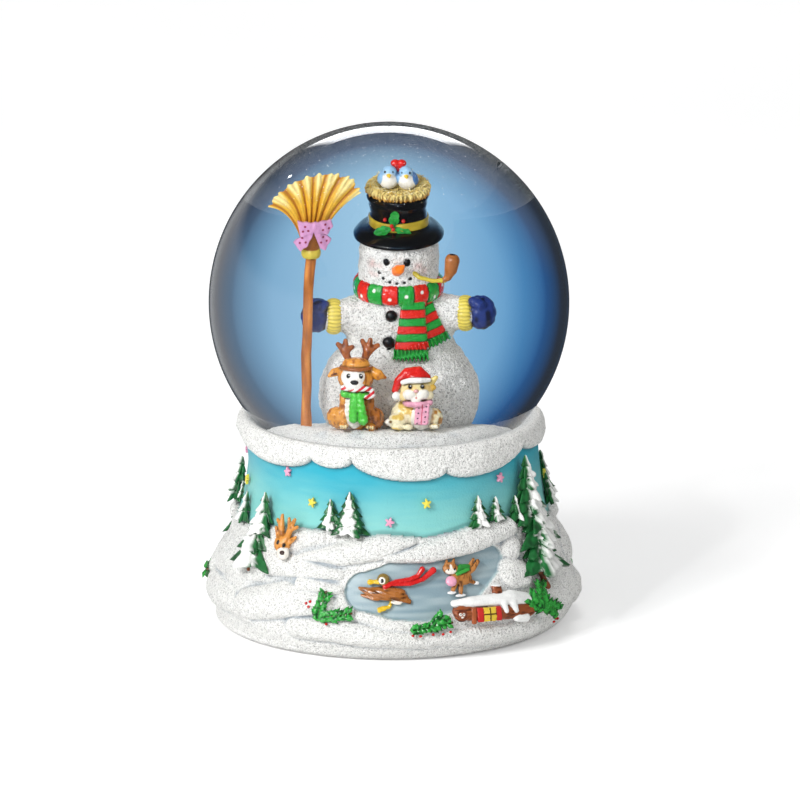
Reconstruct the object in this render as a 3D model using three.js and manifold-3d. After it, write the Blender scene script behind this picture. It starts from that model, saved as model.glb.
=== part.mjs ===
// Musical water globe: a glass ball full of water with a snowman scene, on a cast resin base
// that hides a wind-up musical movement. Millimetres, +Z up, the scene faces -Y, and the
// origin is the middle of the circle that the feet rest on.
import * as THREE from "three";
import { mergeVertices } from "three/addons/utils/BufferGeometryUtils.js";
import Module from "manifold-3d";

const wasm = await Module();
wasm.setup();

// ---------- driving dimensions ----------
const GLOBE_RADIUS = 50;
const GLASS_WALL = 1.8;
const GLOBE_Z = 90; // height of the ball's centre
const NECK_RADIUS = 30.5; // outside of the ball's mouth
const NECK_END_Z = 45;
const BASE_TOP_Z = 58.8;
const BASE_RING_Z = 1; // underside of the resin, on top of the pads
const CAVITY_RADIUS = 35.5;
const PLATE_RADIUS = 40;
const PLATE_Z = 10; // underside of the bottom plate
const PLATE_THICK = 2.5;
const GROUND_Z = 64; // top of the snow that the figures stand on
const MOUND_RADIUS = 27.9;
const GAP = 0.3; // between pieces that are glued or pressed together
const WATER_GAP = 0.35; // between the water and the snow mound
const SHAFT_PLAY = 0.08; // radial clearance of a shaft in its hole
const BEDPLATE_Z = PLATE_Z + PLATE_THICK;
const BEDPLATE_THICK = 2;
const BED_TOP = BEDPLATE_Z + BEDPLATE_THICK;

// ---------- gear train ----------
const BARREL = { x: -13, y: 1, radius: 10.3, bottom: 15.2, deck: 22.3 };
const CROWN = { teeth: 45, radius: 9, width: 1.2 };
const DRIVE = { teeth: 20, x: BARREL.x + CROWN.radius, width: 1.2 };
const DRIVE_MODULE = (2 * CROWN.radius) / CROWN.teeth;
const DRIVE_RADIUS = (DRIVE_MODULE * DRIVE.teeth) / 2;
const CROWN_PITCH_Z = BARREL.deck + 1.25 * DRIVE_MODULE;
const AXIS_Z = CROWN_PITCH_Z + DRIVE_RADIUS; // height of the cylinder's axis
const AXIS_Y = BARREL.y;
const WHEEL = { teeth: 40, module: 0.34, x: 15.6, width: 1.2 };
const PINION = { teeth: 10, module: 0.34, x: 15.6, width: 1.6 };
const TRAIN_DISTANCE = ((WHEEL.teeth + PINION.teeth) * WHEEL.module) / 2;
const TRAIN_DROP = 4.6; // the governor's shaft lies this far below the cylinder's
const GOVERNOR_Z = AXIS_Z - TRAIN_DROP;
const GOVERNOR_Y = AXIS_Y - Math.sqrt(TRAIN_DISTANCE ** 2 - TRAIN_DROP ** 2);
const WORM_WHEEL = { teeth: 20, radius: 4.5, x: 19.6, width: 0.7 };
const WORM = { radius: 1.3, core: 0.88, helix: 1.1, thread: 0.3, turns: 3 };
const WORM_Y = GOVERNOR_Y - WORM_WHEEL.radius - WORM.radius;
const WORM_PITCH = (2 * Math.PI * WORM_WHEEL.radius) / WORM_WHEEL.teeth;
const CYLINDER = { radius: 6.5, left: -2.4, right: 14, pin: 0.55 };
const COMB = { teeth: 18, thick: 1, tipHalf: 0.26, rootHalf: 0.32, margin: 0.9, root: 13.6, back: 18.6 };
const COMB_PITCH = (CYLINDER.right - CYLINDER.left - 2) / (COMB.teeth - 1);
const COMB_BOTTOM = AXIS_Z - 0.6;
const SHAFT = { arbor: 1.4, arborTip: 1, cylinder: 0.9, governor: 0.7, brake: 0.5 }; // radii
const SCREW = { plate: 1.1, movement: 1, comb: 0.8 }; // shank radii
const SCREW_PLAY = 0.1;
const GEAR_BORE = 1;

// ---------- solids and booleans ----------
function solidOf(geometry) {
  const bare = geometry.index ? geometry.toNonIndexed() : geometry.clone();
  bare.deleteAttribute("normal");
  bare.deleteAttribute("uv");
  const merged = mergeVertices(bare, 1e-4);
  const mesh = new wasm.Mesh({
    numProp: 3,
    vertProperties: merged.attributes.position.array,
    triVerts: new Uint32Array(merged.index.array),
  });
  return new wasm.Manifold(mesh);
}

function geometryOf(solid) {
  const mesh = solid.getMesh();
  const position = new THREE.BufferAttribute(mesh.vertProperties, 3);
  const geometry = new THREE.BufferGeometry().setAttribute("position", position);
  geometry.setIndex(new THREE.BufferAttribute(mesh.triVerts, 1));
  geometry.computeVertexNormals();
  return geometry;
}

const join = (solids) => solids.reduce((all, next) => all.add(next));
const cut = (solid, tools) => tools.reduce((left, tool) => left.subtract(tool), solid);

// ---------- shapes, each returned as a solid in its place ----------
const moved = (geometry, at) => solidOf(geometry.translate(...at));

// A turned piece about +Z. The profile is a list of [radius, height], with the material on its left.
function turned(profile, sides, at = [0, 0, 0]) {
  const points = profile.map(([radius, height]) => new THREE.Vector2(radius, height));
  const geometry = new THREE.LatheGeometry(points, sides);
  return moved(geometry.rotateX(Math.PI / 2), at);
}

// Points of a circular arc in the profile plane, about [0, z]. Arcs of any radius break at the same
// angles, so that nested balls keep their distance.
const ARC_STEP = THREE.MathUtils.degToRad(12);

function arc(radius, z, fromHeight, toHeight) {
  const angles = [fromHeight, toHeight].map((height) => Math.asin((height - z) / radius));
  const [low, high] = angles.slice().sort((a, b) => a - b);
  const breaks = [];
  for (let i = Math.ceil(low / ARC_STEP + 0.2); i * ARC_STEP < high - 0.2 * ARC_STEP; i += 1) {
    breaks.push(i * ARC_STEP);
  }
  if (angles[0] > angles[1]) breaks.reverse();
  return [angles[0], ...breaks, angles[1]].map((angle) => [
    radius * Math.cos(angle),
    z + radius * Math.sin(angle),
  ]);
}

const box = (size, at) => moved(new THREE.BoxGeometry(...size), at);

function ball([x, y, z], [a, b, c], grow, sides) {
  const geometry = new THREE.SphereGeometry(1, sides, Math.round(sides / 2));
  geometry.rotateX(Math.PI / 2).scale(a + grow, b + grow, c + grow);
  return moved(geometry, [x, y, z]);
}

// A round bar between two points, with a radius at each end.
function rod(from, to, startRadius, endRadius, grow, sides) {
  const start = new THREE.Vector3(...from);
  const along = new THREE.Vector3(...to).sub(start);
  const length = along.length() + 2 * grow;
  const geometry = new THREE.CylinderGeometry(
    endRadius + grow,
    startRadius + grow,
    length,
    sides,
  );
  const turn = new THREE.Quaternion().setFromUnitVectors(
    new THREE.Vector3(0, 1, 0),
    along.clone().normalize(),
  );
  geometry.applyQuaternion(turn);
  return moved(geometry, start.addScaledVector(along, 0.5).toArray());
}

// A flat strip between two points, lying across the X direction.
function plank(from, to, width, thick, grow) {
  const start = new THREE.Vector3(...from);
  const along = new THREE.Vector3(...to).sub(start);
  const length = along.length() + 2 * grow;
  const geometry = new THREE.BoxGeometry(width + 2 * grow, thick + 2 * grow, length);
  const ahead = along.clone().normalize();
  const face = new THREE.Vector3().crossVectors(ahead, new THREE.Vector3(1, 0, 0)).normalize();
  const across = new THREE.Vector3().crossVectors(face, ahead);
  geometry.applyMatrix4(new THREE.Matrix4().makeBasis(across, face, ahead));
  return moved(geometry, start.addScaledVector(along, 0.5).toArray());
}

const upright = (x, y, low, high, radius, sides = 24) =>
  rod([x, y, low], [x, y, high], radius, radius, 0, sides);
const alongX = (y, z, left, right, radius, sides = 24) =>
  rod([left, y, z], [right, y, z], radius, radius, 0, sides);

// A flat outline in the XY plane, extruded upwards from z = 0.
function slab(points, depth) {
  const shape = new THREE.Shape(points.map(([x, y]) => new THREE.Vector2(x, y)));
  return new THREE.ExtrudeGeometry(shape, { depth, bevelEnabled: false });
}

// ---------- gears ----------
// Heights are shares of the module, and half-widths are shares of the tooth pitch.
const TOOTH = { above: 0.75, below: 1.15, tip: 0.12, root: 0.33, crownTip: 0.14 };

// Outline of a spur gear with straight-flanked teeth, one of them centred on the angle `phase`.
function gearOutline(teeth, module, phase) {
  const pitch = (2 * Math.PI) / teeth;
  const radius = (module * teeth) / 2;
  const corners = [
    [radius - TOOTH.below * module, -TOOTH.root],
    [radius + TOOTH.above * module, -TOOTH.tip],
    [radius + TOOTH.above * module, TOOTH.tip],
    [radius - TOOTH.below * module, TOOTH.root],
  ];
  return Array.from({ length: teeth }, (_, i) =>
    corners.map(([r, share]) => {
      const angle = phase + (i + share) * pitch;
      return [r * Math.cos(angle), r * Math.sin(angle)];
    }),
  ).flat();
}

// A gear on a shaft along X. `phase` is the angle in the YZ plane, from +Y towards +Z.
function gearAlongX(teeth, module, phase, x, y, z, width, bore) {
  const geometry = slab(gearOutline(teeth, module, phase), width);
  geometry.applyMatrix4(
    new THREE.Matrix4().makeBasis(
      new THREE.Vector3(0, 1, 0),
      new THREE.Vector3(0, 0, 1),
      new THREE.Vector3(1, 0, 0),
    ),
  );
  const gear = moved(geometry, [x - width / 2, y, z]);
  return cut(gear, [alongX(y, z, x - width, x + width, bore, 16)]);
}

// The ring of upward teeth on the spring barrel. At rest a gap faces +X, where the pinion meshes.
function crownTeeth() {
  const pitch = (2 * Math.PI * CROWN.radius) / CROWN.teeth;
  const top = CROWN_PITCH_Z + TOOTH.above * DRIVE_MODULE;
  const root = BARREL.deck - 0.2;
  const low = TOOTH.root * pitch;
  const high = TOOTH.crownTip * pitch;
  const outline = [[-low, root], [low, root], [high, top], [-high, top]];
  return Array.from({ length: CROWN.teeth }, (_, i) => {
    const angle = ((i + 0.5) * 2 * Math.PI) / CROWN.teeth;
    const tooth = slab(outline, CROWN.width);
    tooth.rotateX(Math.PI / 2).rotateZ(Math.PI / 2);
    tooth.translate(CROWN.radius - CROWN.width / 2, 0, 0).rotateZ(angle);
    return moved(tooth, [BARREL.x, BARREL.y, 0]);
  });
}

// ---------- the scene in the water, as lists of simple shapes ----------
const FLOOR = GROUND_Z + 0.05;
const bead = (at, radii) => ({ at, radii });
const stick = (from, to, start, end = start) => ({ from, to, start, end });
const slat = (from, to, width, thick) => ({ slat: from, to, width, thick });
const mirrored = (centre, make) => [-1, 1].flatMap((side) => make(side, centre));

const SNOWMAN = [
  bead([2, 0, 75.2], [16.6, 14.2, 13.8]),
  bead([2, 0, 87.2], [11, 9.6, 8.4]),
  bead([2.3, -0.3, 98.7], [9.2, 8.6, 7.6]),
  stick([-3, -1, 88.6], [-11.4, -2.4, 87.5], 4.4, 3.3),
  stick([8, -1, 88.8], [15.6, -2.4, 88.1], 4.4, 3.3),
];
const NOSE_AND_BUTTONS = [
  stick([2.9, -7, 101.4], [1, -13.2, 99.3], 1.5, 0.6),
  bead([0.4, -9.2, 89], [1.3, 1.3, 1.3]),
  bead([-0.4, -11.6, 83.6], [1.3, 1.3, 1.3]),
];
const SCARF = [
  bead([2.2, -0.2, 93.2], [11, 10.6, 3.1]),
  slat([4.6, -10.4, 93], [5.4, -15.2, 79.6], 6.6, 1.8),
  slat([9, -7.2, 92.8], [13.4, -12.2, 81.2], 4.2, 1.8),
];
const TOP_HAT = [
  stick([2.1, 0, 104], [2.1, 0, 105.4], 9.7),
  stick([2.1, 0, 105], [2.1, 0, 114.6], 6.1, 6.6),
];
const BIRD_NEST = [stick([2.1, 0, 114.9], [2.1, 0, 117.2], 6.4, 7.2)];
const BLUEBIRD_LEFT = [
  bead([0, -1.4, 119.7], [2.1, 2.2, 2.1]),
  bead([0.1, -2, 121.6], [1.5, 1.5, 1.4]),
];
const BLUEBIRD_RIGHT = [
  bead([4.7, -1.6, 119.4], [2.1, 2.2, 2.1]),
  bead([4.4, -2.2, 121.2], [1.5, 1.5, 1.4]),
];
const HEART = [bead([2.2, -0.4, 123.1], [1.5, 0.9, 1.3])];
const PIPE = [
  stick([6, -8.8, 97.9], [11.4, -8.6, 96.4], 0.6, 0.8),
  stick([11.2, -8.6, 96.2], [13.4, -7.6, 102.3], 1, 2.1),
];
const LEFT_MITTEN = [
  bead([-16.6, -2.9, 87.4], [3.8, 3.4, 3.9]),
  stick([-13.9, -2.5, 87.5], [-11.6, -2.4, 87.6], 3.9, 3.5),
];
const RIGHT_MITTEN = [
  bead([19.6, -2.9, 88.1], [3.6, 3.4, 3.9]),
  stick([15.8, -2.4, 88.2], [17.6, -2.5, 88.2], 3.6, 3.9),
];
const BROOM_STICK = [stick([-18, -8.4, FLOOR], [-16.8, -8.4, 104.6], 1.3)];
const BROOM_BOW = [
  ...mirrored(-16.9, (side, x) => [bead([x + 2.6 * side, -11.7, 109.6], [2.6, 0.9, 2.8])]),
  bead([-16.9, -11.8, 110], [1.3, 1, 1.4]),
];
const DOG = [
  bead([-8, -18.6, 69.2], [4.5, 3.4, 5.3]),
  bead([-7.2, -18.8, 77], [4.3, 3.3, 4]),
  bead([-7.2, -21.4, 75.4], [2.2, 1.6, 1.8]),
  stick([-7.2, -18.8, 80], [-7.2, -18.8, 81.2], 3.5, 2.4),
  ...mirrored(-8, (side, x) => [
    bead([x + 4.4 * side, -18.6, 66.4], [2.2, 2.6, 2.6]),
    bead([x + 0.8 + 4.7 * side, -18.6, 77], [1.6, 1.2, 2]),
    stick([x + 0.8 + 1.5 * side, -18.6, 80.6], [x + 0.8 + 3.2 * side, -18.6, 84.6], 0.8, 1.2),
  ]),
];
const CAT = [
  bead([6, -18.6, 67.9], [5, 3.4, 4.6]),
  bead([5.4, -18.8, 73.6], [4.3, 3.3, 3.7]),
  bead([4.6, -18.6, 76.8], [3.4, 2.9, 2]),
  bead([1.4, -19, 74.4], [1.3, 1.3, 1.3]),
  bead([8.8, -18.4, 76.1], [1.4, 1, 1.6]),
  ...mirrored(6, (side, x) => [bead([x + 4.4 * side, -18.6, 65.9], [2, 2.4, 2])]),
];

const BODY_SIDES = 14; // for the snowman and the hat
const SMALL_SIDES = 8;
const sidesOf = (items) => (items === SNOWMAN || items === TOP_HAT ? BODY_SIDES : SMALL_SIDES);

function shapeOf(item, grow, sides) {
  if (item.radii) return ball(item.at, item.radii, grow, sides);
  if (item.slat) return plank(item.slat, item.to, item.width, item.thick, grow);
  return rod(item.from, item.to, item.start, item.end, grow, sides);
}

const shapesOf = (items, grow) => items.map((item) => shapeOf(item, grow, sidesOf(items)));
const underFloor = box([80, 80, 20], [0, 0, FLOOR - 10]);

// A figure piece: its shapes joined, standing on the snow and cut clear of the pieces it touches.
function figure(items, neighbours = []) {
  const tools = neighbours.flatMap((other) => shapesOf(other, GAP));
  return cut(join(shapesOf(items, 0)), [...tools, underFloor]);
}

// The bristles: a fan outline in the XZ plane, as thick as the broom is deep.
const BROOM_FAN = { x: -16.7, y: -8.4, neck: 103.8, depth: 4.2 };

function broomFan() {
  const outline = new THREE.Shape();
  outline.moveTo(-1.9, 0);
  outline.lineTo(1.9, 0);
  outline.quadraticCurveTo(2.4, 8.4, 9.7, 16.4);
  outline.quadraticCurveTo(4, 19.6, -2.6, 20.4);
  outline.quadraticCurveTo(-9.6, 18.6, -13, 11.8);
  outline.quadraticCurveTo(-3.6, 9.8, -1.9, 0);
  const geometry = new THREE.ExtrudeGeometry(outline, {
    depth: BROOM_FAN.depth,
    bevelEnabled: false,
    curveSegments: 5,
  });
  geometry.rotateX(Math.PI / 2);
  return moved(geometry, [BROOM_FAN.x, BROOM_FAN.y + BROOM_FAN.depth / 2, BROOM_FAN.neck]);
}

// ---------- globe ----------
const INNER_RADIUS = GLOBE_RADIUS - GLASS_WALL;
const NECK_BORE = NECK_RADIUS - GLASS_WALL;
const BALL_SIDES = 30;

function glassGlobe() {
  const outerFoot = GLOBE_Z - Math.sqrt(GLOBE_RADIUS ** 2 - NECK_RADIUS ** 2);
  const innerFoot = GLOBE_Z - Math.sqrt(INNER_RADIUS ** 2 - NECK_BORE ** 2);
  const outside = arc(GLOBE_RADIUS, GLOBE_Z, outerFoot, GLOBE_Z + GLOBE_RADIUS);
  const inside = arc(INNER_RADIUS, GLOBE_Z, innerFoot, GLOBE_Z + INNER_RADIUS);
  const outerBall = turned(
    [[0, NECK_END_Z], [NECK_RADIUS, NECK_END_Z], ...outside.slice(0, -1), [0, GLOBE_Z + GLOBE_RADIUS]],
    BALL_SIDES,
  );
  const hollow = turned(
    [[0, NECK_END_Z - 1], [NECK_BORE, NECK_END_Z - 1], ...inside.slice(0, -1), [0, GLOBE_Z + INNER_RADIUS]],
    BALL_SIDES,
  );
  return cut(outerBall, [hollow]);
}

const MOUND_PROFILE = [
  [MOUND_RADIUS, 56.5],
  [27, 60.6],
  [24, 63],
  [18.5, GROUND_Z],
];

function snowMound() {
  const foot = NECK_END_Z + 5.6;
  return turned([[0, foot], [MOUND_RADIUS, foot], ...MOUND_PROFILE, [0, GROUND_Z]], BALL_SIDES);
}

function rubberStopper() {
  const plug = NECK_BORE - GAP;
  const flange = NECK_RADIUS + 0.2;
  const profile = [
    [0, NECK_END_Z - 3],
    [flange, NECK_END_Z - 3],
    [flange, NECK_END_Z - 0.2],
    [plug, NECK_END_Z - 0.2],
    [plug, NECK_END_Z + 4.6],
    [plug - 0.8, NECK_END_Z + 5.4],
    [0, NECK_END_Z + 5.4],
  ];
  return turned(profile, BALL_SIDES);
}

// Flakes that have sunk into the groove between the snow mound and the glass.
const FLAKES_TOP = 54.8;

function settledFlakes() {
  const glass = arc(INNER_RADIUS - GAP, GLOBE_Z, 52, FLAKES_TOP);
  const inner = MOUND_RADIUS + GAP;
  return turned([[inner, 52], ...glass, [inner, FLAKES_TOP - 0.3], [inner, 52]], BALL_SIDES);
}

// Room that the water leaves for the figures: a plain envelope round each group of them.
function figureRoom() {
  const below = FLOOR - 2;
  const aboveHeart = 126;
  const snowmanToHeart = [
    [0, below],
    [19, below],
    [19, 82],
    [16, 87],
    [15.4, 101],
    [11, 103.6],
    [11, 107],
    [8.2, 110],
    [8.2, aboveHeart],
    [0, aboveHeart],
  ];
  const snowman = turned(snowmanToHeart, 16, [2, 0, 0]);
  const arms = rod([-22, -2.6, 87.4], [25, -2.6, 88.2], 5.4, 5.4, 0, 10);
  const scarfTails = plank([5.5, -10, 95], [6.6, -15, 77], 18, 5, 0);
  const pipe = rod([8, -8.6, 96], [14, -7.8, 104], 3.6, 3.6, 0, 8);
  const broomStick = rod([-18.1, -8.4, below], [-16.7, -8.4, 106], 2, 2.4, 0, 8);
  const broomHead = plank([-18.6, -8.4, 102], [-18.6, -8.4, aboveHeart], 25, 5.6, 0);
  const bow = box([12, 6, 9], [-16.9, -11, 109.4]);
  const dogAndCat = box([32, 9, 24], [-1, -19, 74]);
  return [snowman, arms, scarfTails, pipe, broomStick, broomHead, bow, dogAndCat];
}

// The water: the ball's inside above the flakes, less the room for the figures.
function waterFill() {
  const low = FLAKES_TOP + GAP;
  const top = GLOBE_Z + INNER_RADIUS - GAP;
  const skin = arc(INNER_RADIUS - GAP, GLOBE_Z, low, top);
  const floor = MOUND_PROFILE.map(([radius, z]) => [radius + WATER_GAP, z + WATER_GAP]).reverse();
  const profile = [
    [0, GROUND_Z + WATER_GAP],
    ...floor,
    [MOUND_RADIUS + WATER_GAP, low],
    ...skin.slice(0, -1),
    [0, top],
  ];
  return cut(turned(profile, BALL_SIDES), figureRoom());
}

// ---------- base ----------
const PLATE_SCREW_ANGLES = [90, 210, 330].map(THREE.MathUtils.degToRad);
const PLATE_SCREW_RADIUS = 37.9;
const PAD_ANGLES = [45, 135, 225, 315].map(THREE.MathUtils.degToRad);
const PAD = { circle: 43.6, radius: 2.6 };
const MOVEMENT_SCREWS = [[-20, -13], [20, 16]];
const COMB_SCREWS = [[1.6, 16.4], [10, 16.4]];
const at = (angle, radius) => [radius * Math.cos(angle), radius * Math.sin(angle)];

function resinBase() {
  const outside = [
    [46.6, BASE_RING_Z],
    [49.6, 2.6],
    [51.6, 6],
    [51.8, 9],
    [51, 13.5],
    [48.8, 18.5],
    [46.6, 24],
    [44.9, 31],
    [43.2, 40],
    [42.7, 44],
    [44.2, 47],
    [44.4, 51],
    [43.4, 56],
    [41.4, BASE_TOP_Z],
  ];
  const seatRadius = GLOBE_RADIUS + GAP;
  const seat = arc(seatRadius, GLOBE_Z, BASE_TOP_Z, 50.9);
  const bore = NECK_RADIUS + 0.6;
  const deck = NECK_END_Z - 3.3;
  const inside = [
    [bore, 50.4],
    [bore, deck],
    [12, deck],
    [12, deck - 4],
    [CAVITY_RADIUS, deck - 4],
    [CAVITY_RADIUS, BEDPLATE_Z],
    [PLATE_RADIUS + 0.4, BEDPLATE_Z],
    [PLATE_RADIUS + 0.4, BASE_RING_Z],
  ];
  const profile = [...outside, ...seat, ...inside, outside[0]];
  const holes = PLATE_SCREW_ANGLES.map((angle) =>
    upright(
      ...at(angle, PLATE_SCREW_RADIUS),
      BEDPLATE_Z - 1,
      BEDPLATE_Z + 8,
      SCREW.plate + SCREW_PLAY,
      10,
    ),
  );
  return cut(turned(profile, 40), holes);
}

function bottomPlate() {
  const top = PLATE_Z + PLATE_THICK;
  const disc = turned([[0, PLATE_Z], [PLATE_RADIUS, PLATE_Z], [PLATE_RADIUS, top], [0, top]], 40);
  const hole = (x, y, radius) => upright(x, y, PLATE_Z - 1, top + 1, radius, 14);
  return cut(disc, [
    hole(BARREL.x, BARREL.y, SHAFT.arbor + 1),
    ...PLATE_SCREW_ANGLES.map((angle) => hole(...at(angle, PLATE_SCREW_RADIUS), SCREW.plate + 0.2)),
    ...MOVEMENT_SCREWS.map(([x, y]) => hole(x, y, SCREW.movement + 0.3)),
  ]);
}

// A round-headed screw driven along Z. `head` is the side of the shank the head sits on.
function screw(x, y, seat, length, shank, head) {
  const size = 2 * shank;
  return join([
    upright(x, y, Math.min(seat, seat - head * length), Math.max(seat, seat - head * length), shank, 10),
    rod([x, y, seat], [x, y, seat + head * size * 0.6], size, size * 0.7, 0, 10),
  ]);
}

// ---------- musical movement ----------
function springBarrel() {
  const { x, y, radius, bottom, deck } = BARREL;
  const bore = SHAFT.arbor + SHAFT_PLAY;
  const wall = 0.9;
  const roof = deck - 1.1;
  const cup = turned(
    [
      [bore, roof],
      [radius - wall, roof],
      [radius - wall, bottom],
      [radius, bottom],
      [radius, deck],
      [bore, deck],
      [bore, roof],
    ],
    24,
    [x, y, 0],
  );
  return join([cup, ...crownTeeth()]);
}

// A strip of spring steel wound in a flat spiral.
const SPRING = { turns: 4, innerRadius: 2.4, outerRadius: 8.8, thick: 0.35, height: 5 };

function mainspring() {
  const { turns, innerRadius, outerRadius, thick, height } = SPRING;
  const steps = turns * 10;
  const spiral = (offset) =>
    Array.from({ length: steps + 1 }, (_, i) => {
      const angle = (2 * Math.PI * turns * i) / steps;
      const radius = innerRadius + ((outerRadius - innerRadius) * i) / steps + offset;
      return [radius * Math.cos(angle), radius * Math.sin(angle)];
    });
  const strip = slab([...spiral(0), ...spiral(thick).reverse()], height);
  return moved(strip, [BARREL.x, BARREL.y, BARREL.bottom + 0.4]);
}

// The cast plate that carries the movement, with the block that the comb is screwed to.
const BED = { width: 49, depth: 37, x: -0.5, y: 1.5 };
const COMB_BLOCK = { width: 16, depth: 5.4, x: 6, y: 16.2 };

function bedplate() {
  const middle = BEDPLATE_Z + BEDPLATE_THICK / 2;
  const plate = box([BED.width, BED.depth, BEDPLATE_THICK], [BED.x, BED.y, middle]);
  const root = BED_TOP - 1;
  const combBlock = box(
    [COMB_BLOCK.width, COMB_BLOCK.depth, COMB_BOTTOM - root],
    [COMB_BLOCK.x, COMB_BLOCK.y, (COMB_BOTTOM + root) / 2],
  );
  const hole = (x, y, radius) => upright(x, y, BEDPLATE_Z - 1, BED_TOP + 1, radius, 16);
  return cut(join([plate, combBlock]), [
    hole(BARREL.x, BARREL.y, SHAFT.arbor + SHAFT_PLAY),
    hole(WORM_WHEEL.x, WORM_Y, SHAFT.brake + SHAFT_PLAY),
    ...MOVEMENT_SCREWS.map(([x, y]) => hole(x, y, SCREW.movement + SCREW_PLAY)),
    ...COMB_SCREWS.map(([x, y]) =>
      upright(x, y, COMB_BOTTOM - 6, COMB_BOTTOM + 1, SCREW.comb + SCREW_PLAY, 12),
    ),
  ]);
}

// The bridge over the barrel. Its lug carries the left end of the cylinder's arbor.
const BRIDGE = { low: 24.2, thick: 1.2, width: 6, halfSpan: 12, post: 1.6, lugDepth: 4.6, lugHeight: 5.2 };

function barrelBridge() {
  const { x, y } = BARREL;
  const { low, thick, width, halfSpan, post, lugDepth, lugHeight } = BRIDGE;
  const middle = low + thick / 2;
  const posts = [-1, 1].map((side) =>
    box([width, post, middle - BED_TOP], [x, y + side * halfSpan, (middle + BED_TOP) / 2]),
  );
  const beam = box([width, 2 * halfSpan + post, thick], [x, y, middle]);
  const lug = box([thick, lugDepth, lugHeight], [x + 4.4, y, low + lugHeight / 2]);
  const web = box([3, lugDepth, thick], [x + 3.5, y, middle]);
  return cut(join([...posts, beam, web, lug]), [
    upright(x, y, low - 1, low + 3, SHAFT.arborTip + SHAFT_PLAY, 16),
    alongX(AXIS_Y, AXIS_Z, x + 3, x + 6, SHAFT.cylinder + SHAFT_PLAY, 16),
  ]);
}

function windingArbor() {
  const { x, y } = BARREL;
  const shoulder = BRIDGE.low - 0.6;
  return join([
    upright(x, y, KEY.floor + 0.4, shoulder, SHAFT.arbor),
    upright(x, y, shoulder - 0.2, shoulder + 1.6, SHAFT.arborTip),
  ]);
}

// The key: a socket with two flat wings.
const KEY = { low: 2.4, high: 8.6, radius: 2.8, floor: 4, z: 5, wingReach: 8, wingThick: 1.8 };

function windingKey() {
  const { x, y } = BARREL;
  const { low, high, radius, floor, z, wingReach, wingThick } = KEY;
  const wing = (side) =>
    rod([x + 2 * side, y, z], [x + wingReach * side, y, z], 2.4, 3, 0, 16)
      .intersect(box([12, wingThick, 12], [x + 5 * side, y, z]));
  return cut(join([upright(x, y, low, high, radius, 16), wing(-1), wing(1)]), [
    upright(x, y, floor, high + 1, SHAFT.arbor + 0.1),
  ]);
}

const cylinderArbor = () =>
  alongX(AXIS_Y, AXIS_Z, BARREL.x + 3.6, FRAME.x + 1.3, SHAFT.cylinder, 16);

function musicCylinder() {
  const drum = alongX(AXIS_Y, AXIS_Z, CYLINDER.left, CYLINDER.right, CYLINDER.radius, 32);
  const goldenAngle = Math.PI * (3 - Math.sqrt(5)); // spreads the pins evenly
  const pins = Array.from({ length: COMB.teeth * 2 }, (_, i) => {
    const x = CYLINDER.left + 1 + (i % COMB.teeth) * COMB_PITCH;
    const angle = i * goldenAngle;
    const reach = (radius) => [x, AXIS_Y + radius * Math.cos(angle), AXIS_Z + radius * Math.sin(angle)];
    return rod(reach(CYLINDER.radius - 0.4), reach(CYLINDER.radius + CYLINDER.pin), 0.22, 0.16, 0, 4);
  });
  const bore = alongX(AXIS_Y, AXIS_Z, CYLINDER.left - 1, CYLINDER.right + 1, GEAR_BORE, 16);
  return cut(join([drum, ...pins]), [bore]);
}

function comb() {
  const { thick, tipHalf, rootHalf, margin, root, back } = COMB;
  const tip = AXIS_Y + CYLINDER.radius + CYLINDER.pin + 0.2;
  const first = CYLINDER.left + 1;
  const left = first - margin;
  const right = first + (COMB.teeth - 1) * COMB_PITCH + margin;
  const teeth = Array.from({ length: COMB.teeth }, (_, i) => {
    const x = first + i * COMB_PITCH;
    return [[x - rootHalf, root], [x - tipHalf, tip], [x + tipHalf, tip], [x + rootHalf, root]];
  }).flat();
  const outline = [[left, root], ...teeth, [right, root], [right, back], [left, back]];
  const holes = COMB_SCREWS.map(([x, y]) =>
    upright(x, y, COMB_BOTTOM - 1, COMB_BOTTOM + thick + 1, SCREW.comb + SCREW_PLAY, 12),
  );
  return cut(moved(slab(outline, thick), [0, 0, COMB_BOTTOM]), holes);
}

const MESH_ANGLE = Math.atan2(GOVERNOR_Z - AXIS_Z, GOVERNOR_Y - AXIS_Y);

// The frame that carries the cylinder's right end, the governor's shaft and the top of the air brake.
const FRAME = { height: 16.5, thick: 1.2, depth: 12.6, x: 17.6, y: -1.3, lugX: 21.9, lugHeight: 10 };

function governorFrame() {
  const { height, thick, depth, x, y, lugX, lugHeight } = FRAME;
  const plate = box([thick, depth, height], [x, y, BED_TOP + height / 2]);
  const foot = box([5.4, depth, thick], [19.7, y, BED_TOP + thick / 2]);
  const lug = box([1, 3.4, lugHeight], [lugX, GOVERNOR_Y, BED_TOP + lugHeight / 2]);
  const top = BED_TOP + height;
  const arm = box([4.4, 18.8, 1], [19.2, -4.4, top - 0.1]);
  return cut(join([plate, foot, lug, arm]), [
    alongX(AXIS_Y, AXIS_Z, x - 1.6, x + 1.4, SHAFT.cylinder + SHAFT_PLAY, 16),
    alongX(GOVERNOR_Y, GOVERNOR_Z, x - 1.6, lugX + 1.1, SHAFT.governor + SHAFT_PLAY, 16),
    upright(WORM_WHEEL.x, WORM_Y, top - 1.5, top + 1.5, SHAFT.brake + SHAFT_PLAY, 16),
  ]);
}

// The governor's pinion, with its shaft.
function governorPinion() {
  const { teeth, module, x, width } = PINION;
  const phase = MESH_ANGLE + Math.PI + Math.PI / teeth;
  const gear = gearAlongX(teeth, module, phase, x, GOVERNOR_Y, GOVERNOR_Z, width, SHAFT.governor / 2);
  return join([gear, alongX(GOVERNOR_Y, GOVERNOR_Z, x - 1, FRAME.lugX + 0.3, SHAFT.governor, 16)]);
}

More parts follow.
